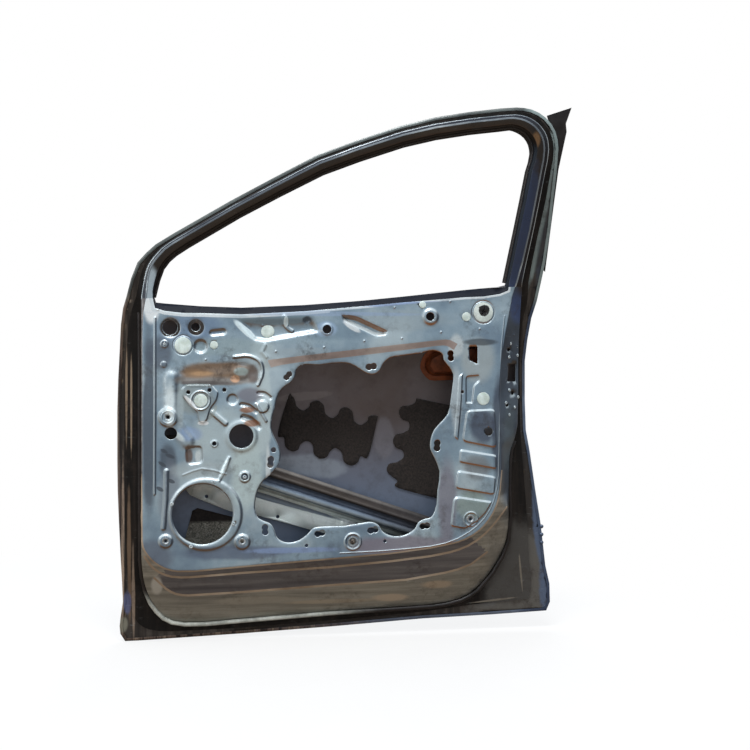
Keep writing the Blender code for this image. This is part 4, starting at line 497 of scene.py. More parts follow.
def smooth(points, closed=True, most=5):
    """A curve through the points, with a break wherever the outline turns sharply."""
    points = [Vector(p) for p in points]
    count = len(points)
    spans = count if closed else count - 1

    def direction(i):
        before, here, after = points[(i - 1) % count], points[i % count], points[(i + 1) % count]
        if not closed and i % count in (0, count - 1):
            return None
        arrive, leave = here - before, after - here
        if arrive.xy.angle(leave.xy) > CORNER_TURN:
            return None
        return arrive.normalized() * leave.length + leave.normalized() * arrive.length

    result = []
    for i in range(spans):
        start, end = points[i], points[(i + 1) % count]
        chord = end - start
        away, home = direction(i), direction(i + 1)
        away = away.normalized() * chord.length if away else chord
        home = home.normalized() * chord.length if home else chord
        turn = away.xy.angle(chord.xy) + home.xy.angle(chord.xy)
        pieces = min(max(ceil(turn / TURN_STEP), 1), most)
        result += [curve(start, away, end, home, k / pieces) for k in range(pieces)]
    if not closed:
        result.append(points[-1])
    return result


def lobes(points, pieces=5):
    """A closed curve through the points, sharp only where the outline really turns a corner."""
    points = [Vector(p) for p in points]
    count, result = len(points), []
    sharp = [
        (points[i] - points[i - 1]).angle(points[(i + 1) % count] - points[i]) > LOBE_CORNER
        for i in range(count)
    ]
    for i in range(count):
        before, a, b, after = points[i - 1], points[i], points[(i + 1) % count], points[(i + 2) % count]
        away = (b - a) if sharp[i] else (b - before) / 2
        home = (b - a) if sharp[(i + 1) % count] else (after - a) / 2
        result += [curve(a, away, b, home, k / pieces) for k in range(pieces)]
    return result


def rounded(corners, share=CORNER_SHARE, steps=2):
    """A closed outline with each corner cut round by a share of its shorter side."""
    corners = [Vector(c) for c in corners]
    result = []
    for i, corner in enumerate(corners):
        before, after = corners[i - 1] - corner, corners[(i + 1) % len(corners)] - corner
        cut = share * min(before.length, after.length)
        first, last = corner + before.normalized() * cut, corner + after.normalized() * cut
        for k in range(steps + 1):
            t = k / steps
            result.append(first * (1 - t) ** 2 + corner * 2 * t * (1 - t) + last * t * t)
    return result


def plan_area(points):
    area = 0.0
    for i, p in enumerate(points):
        q = points[(i + 1) % len(points)]
        area += p.x * q.z - q.x * p.z
    return area / 2


def inset(points, distance):
    """A closed outline moved inwards in plan; a negative distance moves it outwards."""
    side = 1 if plan_area(points) > 0 else -1
    result = []
    for i, here in enumerate(points):
        before, after = points[i - 1], points[(i + 1) % len(points)]
        arrive = Vector((here.x - before.x, here.z - before.z)).normalized()
        leave = Vector((after.x - here.x, after.z - here.z)).normalized()
        normal = Vector((-(arrive.y + leave.y), arrive.x + leave.x))
        if normal.length < MERGE:
            normal = Vector((-arrive.y, arrive.x))
        normal.normalize()
        miter = max(normal.dot(Vector((-arrive.y, arrive.x))), LEAST_MITER)
        shift = normal * side * distance / miter
        result.append(Vector((here.x + shift.x, here.y, here.z + shift.y)))
    return result


def offset(line, reach, closed=True, spacing=0.0035):
    """A closed line at a distance round an outline or a path, with evenly spread points."""
    line = [Vector((p[0], 0, p[1])) for p in line]
    if closed:
        moved = inset(line, reach) if reach else line
    else:
        left, right, caps = [], [], []
        for i, here in enumerate(line):
            before, after = line[max(i - 1, 0)], line[min(i + 1, len(line) - 1)]
            along = (after - before).normalized()
            side = Vector((-along.z, 0, along.x))
            left.append(here + side * reach)
            right.append(here - side * reach)
        for end, way in ((line[-1], line[-1] - line[-2]), (line[0], line[0] - line[1])):
            way = way.normalized()
            side = Vector((-way.z, 0, way.x))
            turns = [pi * (0.5 - k / 6) for k in range(1, 6)]
            caps.append([end + side * reach * sin(t) + way * reach * cos(t) for t in turns])
        moved = left + caps[0] + right[::-1] + caps[1]
    result = []
    for i, here in enumerate(moved):
        after = moved[(i + 1) % len(moved)]
        count = max(1, round((after - here).length / spacing))
        result += [here.lerp(after, k / count) for k in range(count)]
    return in_plan(result)


def circle(centre, radius, depth, count, away=0.0, reach=0.0):
    """A round outline at a picture point, or at a reach from it in the direction `away`."""
    middle = place(*centre, depth) + Vector((reach * cos(away), 0, reach * sin(away)))
    return [at_depth(middle + Vector((radius * cos(t), 0, radius * sin(t))), depth) for t in full_turn(count)]


def keyhole(ax, ay, bx, by, depth, steps=4):
    """Two overlapping round holes in one outline."""
    first, last = place(ax, ay, depth), place(bx, by, depth)
    along = Vector((last.x - first.x, 0, last.z - first.z))
    radius = along.length * KEYHOLE_RADIUS_SHARE
    along.normalize()
    across = Vector((-along.z, 0, along.x))
    result = []
    for middle, sign in ((last, 1), (first, -1)):
        for k in range(steps + 1):
            turn = KEYHOLE_TURN * (2 * k / steps - 1)
            result.append(middle + (along * cos(turn) + across * sin(turn)) * sign * radius)
    return [at_depth(p, depth) for p in result]


def frame_ring(which):
    """The part of a rim that follows the window frame, front foot first."""
    line = []
    for outer, inner, *row in FRAME_STATIONS_PX:
        shares = dict(zip(FRAME_LINES, row), outer=0.0, window=1.0)
        line.append(Vector(outer).lerp(Vector(inner), shares[which]))
    return line


def ring_line(which, table, frame_depth=0.0, unit=0.0, depth=None):
    """A closed rim: the frame part and the lower part, smoothed and placed, at their own depths or one."""
    points = [(p.x, p.y, frame_depth) for p in frame_ring(which)]
    points += [(row[0], row[1], row[2] * unit if len(row) > 2 else 0.0) for row in table]
    return [place(p.x, p.y, p.z if depth is None else depth) for p in smooth(points)]


def open_line(table, unit=0.0):
    points = [(row[0], row[1], row[2] * unit if len(row) > 2 else 0.0) for row in table]
    return [place(*p) for p in smooth(points, False)]


def latch_depth(px, py):
    """The depth of the sloping latch face at a picture place."""
    bend_px, bend_py = LATCH_BEND
    near = bend_px - (py - bend_py) * LATCH_EDGE_SLOPE_SHARE if py < bend_py else LATCH_LOWER_EDGE_PX
    return LATCH_DEPTH_SHARE * rim_depth * clamp((px - near) / (LATCH_FAR_EDGE_PX - near))


def panel_rims():
    flange_depth = lambda x, z: skin_rim(x, z) - hem_gap - sheet
    outline = ring_line("outer", SKIN_LOWER_PX, depth=skin_rim)
    flange = [at_depth(p, flange_depth(p.x, p.z)) for p in inset(outline, 2 * sheet)]
    lip = ring_line("lip", LIP_LOWER_PX, FRAME_LIP_SHARE * frame_skin_depth, rim_depth)
    lip_out = [at_depth(p, flange_depth(p.x, p.z)) for p in inset(lip, -sheet / 2)]
    ledge = ring_line("ledge", LEDGE_LOWER_PX, hinge_top_depth, rim_depth)
    face = ring_line("face", FACE_LOWER_PX)
    foot = []
    for p in inset(ledge, -wall_draft):
        nearest = min(lip, key=lambda q: (q.x - p.x) ** 2 + (q.z - p.z) ** 2)
        foot.append(at_depth(p, depth_of(nearest) - 2 * sheet))
    return flange, lip_out, lip, foot, ledge, face


def step(t):
    t = np.clip(t, 0.0, 1.0)
    return t * t * (3 - 2 * t)


def crossed(points, a, b):
    """Whether each plan point lies inside the closed line whose sides run from a to b."""
    run, z = b - a, points[:, 1:2]
    rise = np.where(np.abs(run[:, 1]) < TINY, TINY, run[:, 1])
    across = run[:, 0] * (z - a[:, 1]) / rise + a[:, 0]
    return (((a[:, 1] > z) != (b[:, 1] > z)) & (points[:, 0:1] < across)).sum(1) % 2 == 1


def to_line(points, line, closed):
    """Distance of each plan point to a line, positive inside it where it is closed."""
    a = np.array(line)
    b = np.roll(a, -1, axis=0)
    if not closed:
        a, b = a[:-1], b[:-1]
    run = b - a
    length = np.maximum((run * run).sum(-1), TINY)
    away = points[:, None] - a[None]
    share = np.clip((away * run).sum(-1) / length, 0, 1)
    reach = np.linalg.norm(away - share[..., None] * run, axis=-1).min(1)
    return np.where(crossed(points, a, b), reach, -reach) if closed else reach


def within(points, line):
    """Whether each plan point lies inside a closed line, in blocks that spare the memory."""
    a = np.array(line)
    b = np.roll(a, -1, axis=0)
    result = np.zeros(len(points), bool)
    near = np.where(np.all((points >= a.min(0)) & (points <= a.max(0)), axis=1))[0]
    for start in range(0, len(near), BLOCK):
        part = near[start:start + BLOCK]
        result[part] = crossed(points[part], a, b)
    return result


class Relief:
    """A pressed form as a function of the plan place: inside an outline, or within `half` of a path."""

    def __init__(self, line, depth, run, half=0.0, soft=None):
        self.line, self.depth, self.run, self.half, self.soft = line, depth, run, half, soft
        spots = np.array(line)
        margin = half + RELIEF_MARGIN
        self.low, self.high = spots.min(0) - margin, spots.max(0) + margin

    def add(self, points, depths):
        near = np.all((points > self.low) & (points < self.high), axis=1)
        if not near.any():
            return
        reach = to_line(points[near], self.line, not self.half)
        if self.half:
            depths[near] += self.depth * (1 - step((reach - (self.half - self.run)) / self.run))
            return
        share = step(reach / self.run)
        if self.soft:
            share = share * step(to_line(points[near], self.soft[0], False) / self.soft[1])
        depths[near] += self.depth * share

    def rings(self):
        if self.half:
            return [
                offset(self.line, self.half - self.run * share, False, 0.003)
                for share in (-0.15, 0.25, 0.55, 0.9)
            ]
        return [offset(self.line, self.run * share) for share in (-0.15, 0.2, 0.5, 0.8, 1.15)]


def dome(x, z, radius, depth, run):
    return Relief([(x, z), (x + DOT, z)], depth, run, radius)


def reliefs():
    """The pressed forms of the trim face, and the weld dots of the latch face."""
    made = [
        Relief([plan(*p) for p in rounded(outline, share, 3)], depth, run)
        for outline, depth, run, share in POCKETS
    ]
    for path, half, depth, run in BEADS:
        line = smooth([(x, y, 0.0) for x, y in path], False, 4)
        made.append(Relief([plan(p.x, p.y) for p in line], depth, run, half))
    made += [dome(*plan(*centre), *sizes) for centre, *sizes in DOMES]
    for centre, radius, half, depth in RINGS:
        x, z = plan(*centre)
        line = [(x + radius * cos(t), z + radius * sin(t)) for t in full_turn(28)]
        made.append(Relief(line + line[:1], depth, half, half))
    made += [dome(*plan(*spot), 0.0042, -0.0016, 0.0040) for spot in DIMPLES]
    recess = [plan(*p) for p in rounded(RECESS, 0.12, 3)]
    made.append(Relief(recess, pocket_relief, 0.013, soft=([plan(*p) for p in RECESS_TOP], 0.030)))
    ring = in_plan(circle(SPEAKER_PX, speaker_ring_radius, 0.0, 48, 0.0, speaker_ring_shift))
    made.append(Relief(ring, -panel_relief, 0.009))
    welds = [dome(*plan(*spot, latch_depth(*spot)), 0.0032, -0.0010, 0.0030) for spot in WELDS]
    return made, welds


def chain(first, count, closed):
    return [(first + i, first + (i + 1) % count) for i in range(count if closed else count - 1)]


def triangles(points, edges):
    """Triangles over plan points: their places, faces and the given point behind each place."""
    made = geometry.delaunay_2d_cdt([Vector(p) for p in points], edges, [], 0, CDT_MERGE)
    spots, _, faces, origins, _, _ = made
    return spots, faces, origins


def new_object(name, data):
    obj = bpy.data.objects.new(name, data)
    bpy.context.scene.collection.objects.link(obj)
    return obj


class Sheet:
    """A pressed sheet in fine triangles: outlines and lines in plan, and a depth for every place."""

    def __init__(self, outline):
        self.spots, self.depths, self.edges, self.holes, self.outline = [], [], [], [], outline

    def line(self, points, depths=None, closed=True):
        first, count = len(self.spots), len(points)
        self.spots += [tuple(p) for p in points]
        self.depths += depths or [None] * count
        self.edges += chain(first, count, closed)

    def ring(self, points):
        """A rim whose points carry their own depth."""
        self.line(in_plan(points), [depth_of(p) for p in points])

    def beside(self, points, reaches, spacing, closed=True):
        for reach in reaches:
            self.line(offset(points, reach, closed, spacing))

    def hole(self, points, reaches=(), spacing=0.003):
        """A hole, with lines round it at the given reaches."""
        self.holes.append(points)
        self.line(points)
        self.beside(points, reaches, spacing)

    def lines_of(self, features):
        for feature in features:
            for line in feature.rings():
                self.line(line)

    def scatter(self, spots, keep_out=None):
        """Loose points inside the outline."""
        keep = within(np.array(spots), self.outline)
        if keep_out:
            keep &= ~within(np.array(spots), keep_out)
        kept = [spot for spot, good in zip(spots, keep) if good]
        self.spots += kept
        self.depths += [None] * len(kept)

    def build(self, name, base, features, looks, thickness, region=None):
        """The piece itself; base gives a place's depth, region its material."""
        spots, faces, origins = triangles(self.spots, self.edges)
        points = np.array([(p.x, p.y) for p in spots])
        faces = [f for f in faces if len(f) > 2]
        middles = np.array([points[list(f)].mean(0) for f in faces])
        keep = within(middles, self.outline)
        for hole in self.holes:
            keep &= ~within(middles, hole)
        faces = [f for f, good in zip(faces, keep) if good]
        kinds = region(middles[keep]) if region else [FACE] * len(faces)
        depths = np.zeros(len(spots))
        used = sorted({k for f in faces for k in f})
        for i in used:
            own = [self.depths[k] for k in origins[i] if self.depths[k] is not None]
            depths[i] = own[0] if own else base(*points[i])
        for feature in features:
            feature.add(points, depths)
        bm = bmesh.new()
        made = {}
        for i in used:
            x, z = points[i]
            made[i] = bm.verts.new((x, depths[i] + lean(z) - hinge_mount_depth, z))
        for face, kind in zip(faces, kinds):
            new = bm.faces.new([made[i] for i in face])
            new.normal_update()
            upright = abs(new.normal.y) < UPRIGHT and new.calc_area() > SLIVER
            hinge_side = kind == GROOVE and points[face[0]][0] < HINGE_SIDE_X
            new.material_index = WALL if upright and hinge_side else int(kind)
            new.smooth = True
        mesh = bpy.data.meshes.new(name)
        bm.to_mesh(mesh)
        bm.free()
        mesh.set_sharp_from_angle(angle=SHARP_EDGE)
        for material in looks:
            mesh.materials.append(material)
        obj = new_object(name, mesh)
        solid = obj.modifiers.new("Thickness", "SOLIDIFY")
        solid.thickness = thickness
        solid.offset = -1
        solid.use_even_offset = True
        solid.thickness_clamp = 1.2
        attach(obj, "root")
        return obj


def base_surface(rings, lines):
    """The panel without relief, spanned between its rims: a function of the plan place."""
    points, edges = [], []
    for line, closed in [(r, True) for r in rings] + [(l, False) for l in lines]:
        first, count = len(points), len(line)
        points += line
        edges += chain(first, count, closed)
    spots, faces, origins = triangles(in_plan(points), edges)
    verts = []
    for spot, origin in zip(spots, origins):
        y = points[origin[0]].y - lean(points[origin[0]].z) if origin else 0.0
        verts.append(Vector((spot.x, y, spot.y)))
    tree = BVHTree.FromPolygons(verts, list(faces))
    kernel = [(0.0, 0.0)] + [(r * cos(t), r * sin(t)) for r in SMOOTHING_RADII for t in full_turn(8)]

    def depth(x, z):
        middle, total, count = None, 0.0, 0
        for dx, dz in kernel:
            hit = tree.ray_cast(Vector((x + dx, -1.0, z + dz)), Vector((0, 1, 0)))[0]
            if hit is None:
                continue
            if middle is None:
                middle = hit.y
            if abs(hit.y - middle) < SMOOTHING_STEP:
                total += hit.y
                count += 1
        return total / count + hinge_mount_depth if count else 0.0

    return depth


class Nodes:
    """A node tree, built call by call."""

    def __init__(self, tree):
        self.tree = tree

    def add(self, kind, **settings):
        """A new node. Settings with a capital are its sockets: a value or what to link."""
        node = self.tree.nodes.new(kind)
        for key, value in settings.items():
            if key[0].isupper():
                self.feed(node.inputs[key.replace("_", " ")], value)
            else:
                setattr(node, key, value)
        return node

    def feed(self, socket, value):
        if isinstance(value, bpy.types.NodeSocket):
            self.tree.links.new(value, socket)
        else:
            socket.default_value = (*value, 1) if socket.type == "RGBA" else value

    def part(self, vector, axis):
        return self.add("ShaderNodeSeparateXYZ", Vector=vector).outputs[axis]

    def ramp(self, fac, *stops):
        """Colours or greys by place; a colour is written as six hex digits."""
        node = self.add("ShaderNodeValToRGB", Fac=fac)
        while len(node.color_ramp.elements) < len(stops):
            node.color_ramp.elements.new(1.0)
        for element, (spot, colour) in zip(node.color_ramp.elements, stops):
            element.position = spot
            element.color = (*rgb(colour), 1) if isinstance(colour, str) else (colour, colour, colour, 1)
        return node.outputs["Color"]

    def blend(self, fac, first, second):
        """Mixes two shaders."""
        node = self.add("ShaderNodeMixShader")
        for socket, value in zip(node.inputs, (fac, first.outputs[0], second.outputs[0])):
            self.feed(socket, value)
        return node.outputs[0]

    def camera_ray(self):
        return self.add("ShaderNodeLightPath").outputs["Is Camera Ray"]


class Look(Nodes):
    """A material; its patches have edges frayed by a noise."""

    def __init__(self, name, metallic, roughness, fray=None, **settings):
        self.material = bpy.data.materials.new(name)
        self.material.use_nodes = True
        super().__init__(self.material.node_tree)
        self.shader = self.tree.nodes["Principled BSDF"]
        for key, value in {"Metallic": metallic, "Roughness": roughness, **settings}.items():
            self.shader.inputs[key.replace("_", " ")].default_value = value
        self.coord = self.add("ShaderNodeTexCoord").outputs["Object"]
        normal = self.add("ShaderNodeNewGeometry").outputs["Normal"]
        self.x, self.z = self.part(self.coord, 0), self.part(self.coord, 2)
        self.normal_x, self.normal_y, self.normal_z = (self.part(normal, i) for i in range(3))
        self.ragged = self.noise(*fray) if fray else None

    def noise(self, scale, detail=4, roughness=0.55, stretch=None):
        source = self.coord
        if stretch:
            source = self.add("ShaderNodeMapping", Vector=source, Scale=stretch).outputs["Vector"]
        node = self.add("ShaderNodeTexNoise", Vector=source, Scale=scale, Detail=detail, Roughness=roughness)
        return node.outputs["Fac"]

    def mix(self, fac, first, second, blend="MIX"):
        node = self.add("ShaderNodeMix", data_type="RGBA", blend_type=blend)
        for spot, value in ((0, fac), (6, first), (7, second)):
            self.feed(node.inputs[spot], value)
        return node.outputs[2]

    def math(self, kind, *values):
        node = self.add("ShaderNodeMath", operation=kind)
        for socket, value in zip(node.inputs, values):
            self.feed(socket, value)
        return node.outputs[0]

    def fade(self, value, low, high, top=1.0):
        return self.add("ShaderNodeMapRange", interpolation_type="SMOOTHSTEP", Value=value, From_Min=low,
                        From_Max=high, To_Max=top).outputs["Result"]

    def fade_x(self, low, high, top=1.0):
        """A fade along the door between two picture places."""
        return self.fade(self.x, place(*low).x, place(*high).x, top)

    def spot(self, centre, reach, weight=1.0, edge=0.45, turn=0.0, depth=0.0):
        """A soft ragged ellipse round a picture place; reach is its half width and height in pixels."""
        middle = place(*centre, depth)
        scale = (reach[0] * METRES_PER_PX, THROUGH, reach[1] * METRES_PER_PX)
        mapping = self.add("ShaderNodeMapping", vector_type="TEXTURE", Vector=self.coord, Scale=scale,
                           Location=(middle.x, 0, middle.z), Rotation=(0, turn, 0))
        length = self.add("ShaderNodeVectorMath", operation="LENGTH", Vector=mapping.outputs["Vector"])
        rough = self.math("MULTIPLY_ADD", self.ragged, RAGGED, -RAGGED / 2)
        spread = self.math("ADD", length.outputs["Value"], rough)
        return self.fade(spread, 1.0, 1.0 - edge, weight)

    # Lays patches over a colour; most are painted highlights, painted shade and painted reflections.
    def lay_patches(self, base, patches):
        for centre, reach, tone, weight, *more in patches:
            base = self.mix(self.spot(centre, reach, weight, *more), base, rgb(tone))
        return base

    def finish(self, base, gloss_noise, low, high, bump_noise, strength, distance=0.0006):
        """Links the colour, and gloss and bump from their noises; without gloss_noise the gloss is even."""
        self.feed(self.shader.inputs["Base Color"], base)
        if gloss_noise:
            gloss = self.add("ShaderNodeMapRange", Value=self.noise(*gloss_noise), To_Min=low, To_Max=high)
            self.feed(self.shader.inputs["Roughness"], gloss.outputs["Result"])
        height = self.noise(*bump_noise)
        bump = self.add("ShaderNodeBump", Strength=strength, Distance=distance, Height=height)
        self.feed(self.shader.inputs["Normal"], bump.outputs["Normal"])
        return self.material


FLOOR_REACH = 14.0
def rgb(text):
    """A linear colour from a screen colour written as six hex digits."""
    parts = [int(text[i:i + 2], 16) / 255 for i in (0, 2, 4)]
    return tuple(p / 12.92 if p <= 0.04045 else ((p + 0.055) / 1.055) ** 2.4 for p in parts)


def pressed(name, tones, up="DDEBF0", down="7A6656", down_rear=None, hinge_side="A9B7BD", latch_side="47525E",
            dirt=0.5, metallic=0.35, low=0.24, high=0.46, patches=(), over=(), streaks=None, coat=0.3,
            shine=0.5, ragged=9):
    """Painted pressed steel, with painted highlights, shade and reflections for each way that it faces,
    scuffs and dirt.
    """
    look = Look(name, metallic, (low + high) / 2, (ragged, 5, 0.6), Coat_Weight=coat, Coat_Roughness=0.14,
                Specular_IOR_Level=shine)
    soft = look.noise(1.0, 4, 0.6, streaks) if streaks else look.noise(5.5, 4, 0.6)
    base = look.lay_patches(look.ramp(soft, *zip((0.32, 0.5, 0.68), tones)), patches)
    # Painted light by facing: pale towards the hinge side, dark shade towards the latch side, a brown floor
    # reflection underneath (orange towards the rear) and a pale sky highlight on top.
    if hinge_side:
        base = look.mix(look.fade(look.normal_x, -0.14, -0.55), base, rgb(hinge_side))
    if latch_side:
        base = look.mix(look.fade(look.normal_x, 0.12, 0.50), base, rgb(latch_side))
    if down:
        under = look.mix(look.fade_x((300, 400), (450, 400)), rgb(down), rgb(down_rear or down))
        base = look.mix(look.fade(look.normal_z, -0.18, -0.50), base, under)
    if up:
        base = look.mix(look.fade(look.normal_z, 0.12, 0.50), base, rgb(up))
    # The over patches: painted highlights and painted shade laid on top of the facing tones.
    base = look.lay_patches(base, over)
    spots = look.ramp(look.noise(8, 5, 0.65), (0.50, 0.0), (0.64, 1.0))
    grime = look.ramp(look.noise(48, 6, 0.72), (0.47, 0.0), (0.60, 1.0))
    base = look.mix(look.math("MULTIPLY", look.math("MULTIPLY", grime, spots), dirt), base, rgb("39302C"))
    scuffs = look.ramp(look.noise(30, 5, 0.75, (1.0, 1.0, 5.0)), (0.62, 0.0), (0.72, 1.0))
    base = look.mix(look.math("MULTIPLY", scuffs, 0.25 * dirt), base, rgb("D5DEE0"))
    fleck = look.ramp(look.noise(1100, 1), (0.35, 0.90), (0.65, 1.08))
    base = look.mix(1.0, base, fleck, "MULTIPLY")
    return look.finish(base, (26, 5, 0.65), low, high, (150, 3, 0.6), 0.10)


def skin_paint():
    """The outer skin: paint outside, primer inside, and a striped hem."""
    look = Look("skin paint", 0.3, 0.40, (12, 4, 0.6), Coat_Weight=0.3, Coat_Roughness=0.15)
    inside = look.ramp(look.noise(4, 4), (0.35, "5F5553"), (0.65, "736E73"))
    inside = look.mix(look.fade(look.z, -0.08, -0.34), inside, rgb("6D7A8F"))
    inside = look.lay_patches(inside, SKIN_PATCHES)
    front = look.ramp(look.noise(1.0, 3, 0.5, (75, 30, 2.2)), (0.36, "2A2220"), (0.46, "75645A"),
                      (0.52, "4E433C"), (0.60, "93826F"), (0.70, "5E5264"))
    rear = look.ramp(look.noise(6, 4), (0.35, "33405A"), (0.55, "55657E"), (0.72, "8496AE"))
    hem = look.mix(look.fade(look.x, 0.25, 0.75), front, rear)
    off_middle = look.math("ABSOLUTE", look.math("SUBTRACT", look.x, 0.455))
    inside = look.mix(look.fade(off_middle, 0.445, 0.475), inside, hem)
    inside = look.mix(look.fade(look.z, -0.585, -0.602), inside, hem)
    frame_hem = look.ramp(look.noise(7, 4), (0.35, "3E4444"), (0.65, "6C7371"))
    frame_hem = look.mix(look.fade_x((520, 200), (533, 200)), frame_hem, rgb("93A3A2"))
    inside = look.mix(look.fade(look.z, 0.16, 0.20), inside, frame_hem)
    # The rims' stripes: painted highlights on the ridges and painted shadow in the gap, with stains.
    inside = look.lay_patches(inside, RIM_PATCHES)
    outside = look.ramp(look.noise(2.5, 3), (0.35, "5E6C7C"), (0.65, "7B8B98"))
    base = look.mix(look.fade(look.normal_y, 0.05, 0.3), inside, outside)
    dirt = look.ramp(look.noise(26, 6, 0.7), (0.50, 0.0), (0.72, 1.0))
    base = look.mix(look.math("MULTIPLY", dirt, 0.3), base, rgb("3B332F"))
    return look.finish(base, (18, 5, 0.6), 0.28, 0.52, (120, 3, 0.6), 0.10)


def plain_look(name, dark, light, metallic, low, high, scale=30, bump=0.1, **settings):
    """A surface that varies between two colours, with its own gloss and grain."""
    look = Look(name, metallic, (low + high) / 2, **settings)
    tone = look.ramp(look.noise(scale, 5, 0.6), (0.35, dark), (0.68, light))
    return look.finish(tone, (scale * 2.3, 4, 0.6), low, high, (scale * 12, 3, 0.6), bump, 0.0005)


def pad_felt():
    """The damping pads: dark felt, crumbly and grey at the bottom pad."""
    look = Look("pad felt", 0.0, 0.9, Sheen_Weight=0.3)
    base = look.ramp(look.noise(220, 5, 0.6), (0.35, "17120F"), (0.68, "332A26"))
    crumbs = look.ramp(look.noise(420, 4, 0.7), (0.42, "45413B"), (0.62, "B5B0A2"))
    low = look.fade(look.z, place(205, 519, 0.11).z, place(205, 523, 0.11).z)
    return look.finish(look.mix(low, base, crumbs), None, 0, 0, (600, 3, 0.6), 0.5)


def beam_paint():
    """The impact beam: pale lower ribs, a valley in painted blue-grey shade and a dark upper rib."""
    look = Look("beam primer", 0.3, 0.45)
    front, rear = place(176, 449, 0.078), place(456, 540, 0.078)
    along = Vector((rear.x - front.x, 0, rear.z - front.z)).normalized()
    across = look.math("ADD", look.math("MULTIPLY", look.x, -along.z), look.math("MULTIPLY", look.z, along.x))
    middle = -front.x * along.z + front.z * along.x
    half = 0.034
    share = look.add("ShaderNodeMapRange", Value=across, From_Min=middle - half, From_Max=middle + half)
    bands = look.ramp(
        share.outputs["Result"], (0.0, "C9D6D2"), (0.17, "D5E0DC"), (0.20, "6B7A8C"), (0.26, "B9C6CC"),
        (0.34, "8090A0"), (0.44, "66748A"), (0.58, "55606E"), (0.64, "2B2624"), (0.74, "5A524C"),
        (0.86, "423A36"), (0.95, "8A8580"))
    bands = look.mix(look.fade_x((330, 500), (440, 500), 0.75), bands, rgb("4D4A4C"))
    wear = look.ramp(look.noise(20, 5, 0.65), (0.38, 0.72), (0.62, 1.08))
    base = look.mix(1.0, bands, wear, "MULTIPLY")
    return look.finish(base, (30, 4, 0.6), 0.35, 0.6, (160, 3, 0.6), 0.12, 0.0005)


def seal_rubber():
    """The door seal: black rubber, with a painted pale highlight on top at the front of the sill."""
    look = Look("door seal rubber", 0.0, 0.45)
    base = look.ramp(look.noise(40, 5, 0.6), (0.35, "110D0C"), (0.68, "262020"))
    # A painted pale highlight on the seal's upper side at the front of the sill.
    pale = look.math("MULTIPLY", look.fade_x((390, 600), (300, 600)), look.fade(look.z, -0.50, -0.55))
    pale = look.math("MULTIPLY", pale, look.fade(look.normal_z, -0.95, -0.3))
    base = look.mix(pale, base, look.ramp(look.noise(24, 4, 0.7), (0.35, "8E9088"), (0.65, "D5D8CE")))
    return look.finish(base, (70, 4, 0.6), 0.22, 0.5, (500, 3, 0.6), 0.15, 0.0004)


def cut_openings(made, module):
    """All openings of the panel but the window. Returns the raised lips of the two largest."""
    made.hole(in_plan(module), (-0.0022, -0.0045), 0.006)
    lips = [Relief(in_plan(module + module[:1]), 0.0016, 0.0045, 0.0045)]
    for i, ends in enumerate(KEYHOLES_PX):
        made.hole(in_plan(keyhole(*ends, panel_relief if i < KEYHOLES_IN_BAND else 0.0, 14)), (-0.0022,))
    speaker = in_plan(circle(SPEAKER_PX, speaker_radius, -panel_relief, 72))
    made.hole(speaker, (-0.0025, -0.0050), 0.005)
    lips.append(Relief(speaker + speaker[:1], 0.0022, 0.0050, 0.0050))
    for turn in SPEAKER_SCREW_TURNS:
        spot = circle(SPEAKER_PX, speaker_screw_radius, -panel_relief, 10, turn, speaker_screw_reach)
        made.hole(in_plan(spot))
    for centre, radius, depth in HOLES_PX:
        made.hole(in_plan(circle(centre, radius, depth, 32 if radius > big_hole else 16)), (-0.0016,))
    for centre, radius, depth in list(PLUGS_PX.values()) + [TRIM_CLIP_PX]:
        made.hole(in_plan(circle(centre, radius * PLUG_HOLE_SHARE, depth, 20)))
    for centre, radius, depth in INSERTS_PX.values():
        made.hole(in_plan(circle(centre, radius * insert_barrel_share + gap, depth, 20)))
    made.hole([plan(p.x, p.y) for p in rounded(LATCH_SLOT_PX, 0.15, 3)])
    made.hole([plan(p.x, p.y, latch_depth(p.x, p.y)) for p in rounded(LATCH_NOTCH_PX, 0.15, 3)])
    reach = LATCH_BOLT_RADIUS_PX
    for px, py in LATCH_BOLTS_PX:
        depth = latch_depth(px, py)
        made.hole([plan(px + reach * cos(t), py + reach * sin(t), depth) for t in full_turn(12)])
    return lips


def loose_points():
    """A grid over the panel, closer together on the trim face."""
    spots = []
    fine = plan(142, 600), plan(512, 300)
    for pitch, low, high in ((FINE, *fine), (COARSE, (-0.07, -0.63), (1.0, 0.64))):
        count_x, count_z = int((high[0] - low[0]) / pitch), int((high[1] - low[1]) / pitch)
        for i in range(count_x + 1):
            for k in range(count_z + 1):
                x = low[0] + (i + 0.5 * (k % 2)) * pitch
                z = low[1] + k * pitch
                if pitch == FINE or not (fine[0][0] < x < fine[1][0] and fine[0][1] < z < fine[1][1]):
                    spots.append((x, z))
    return spots


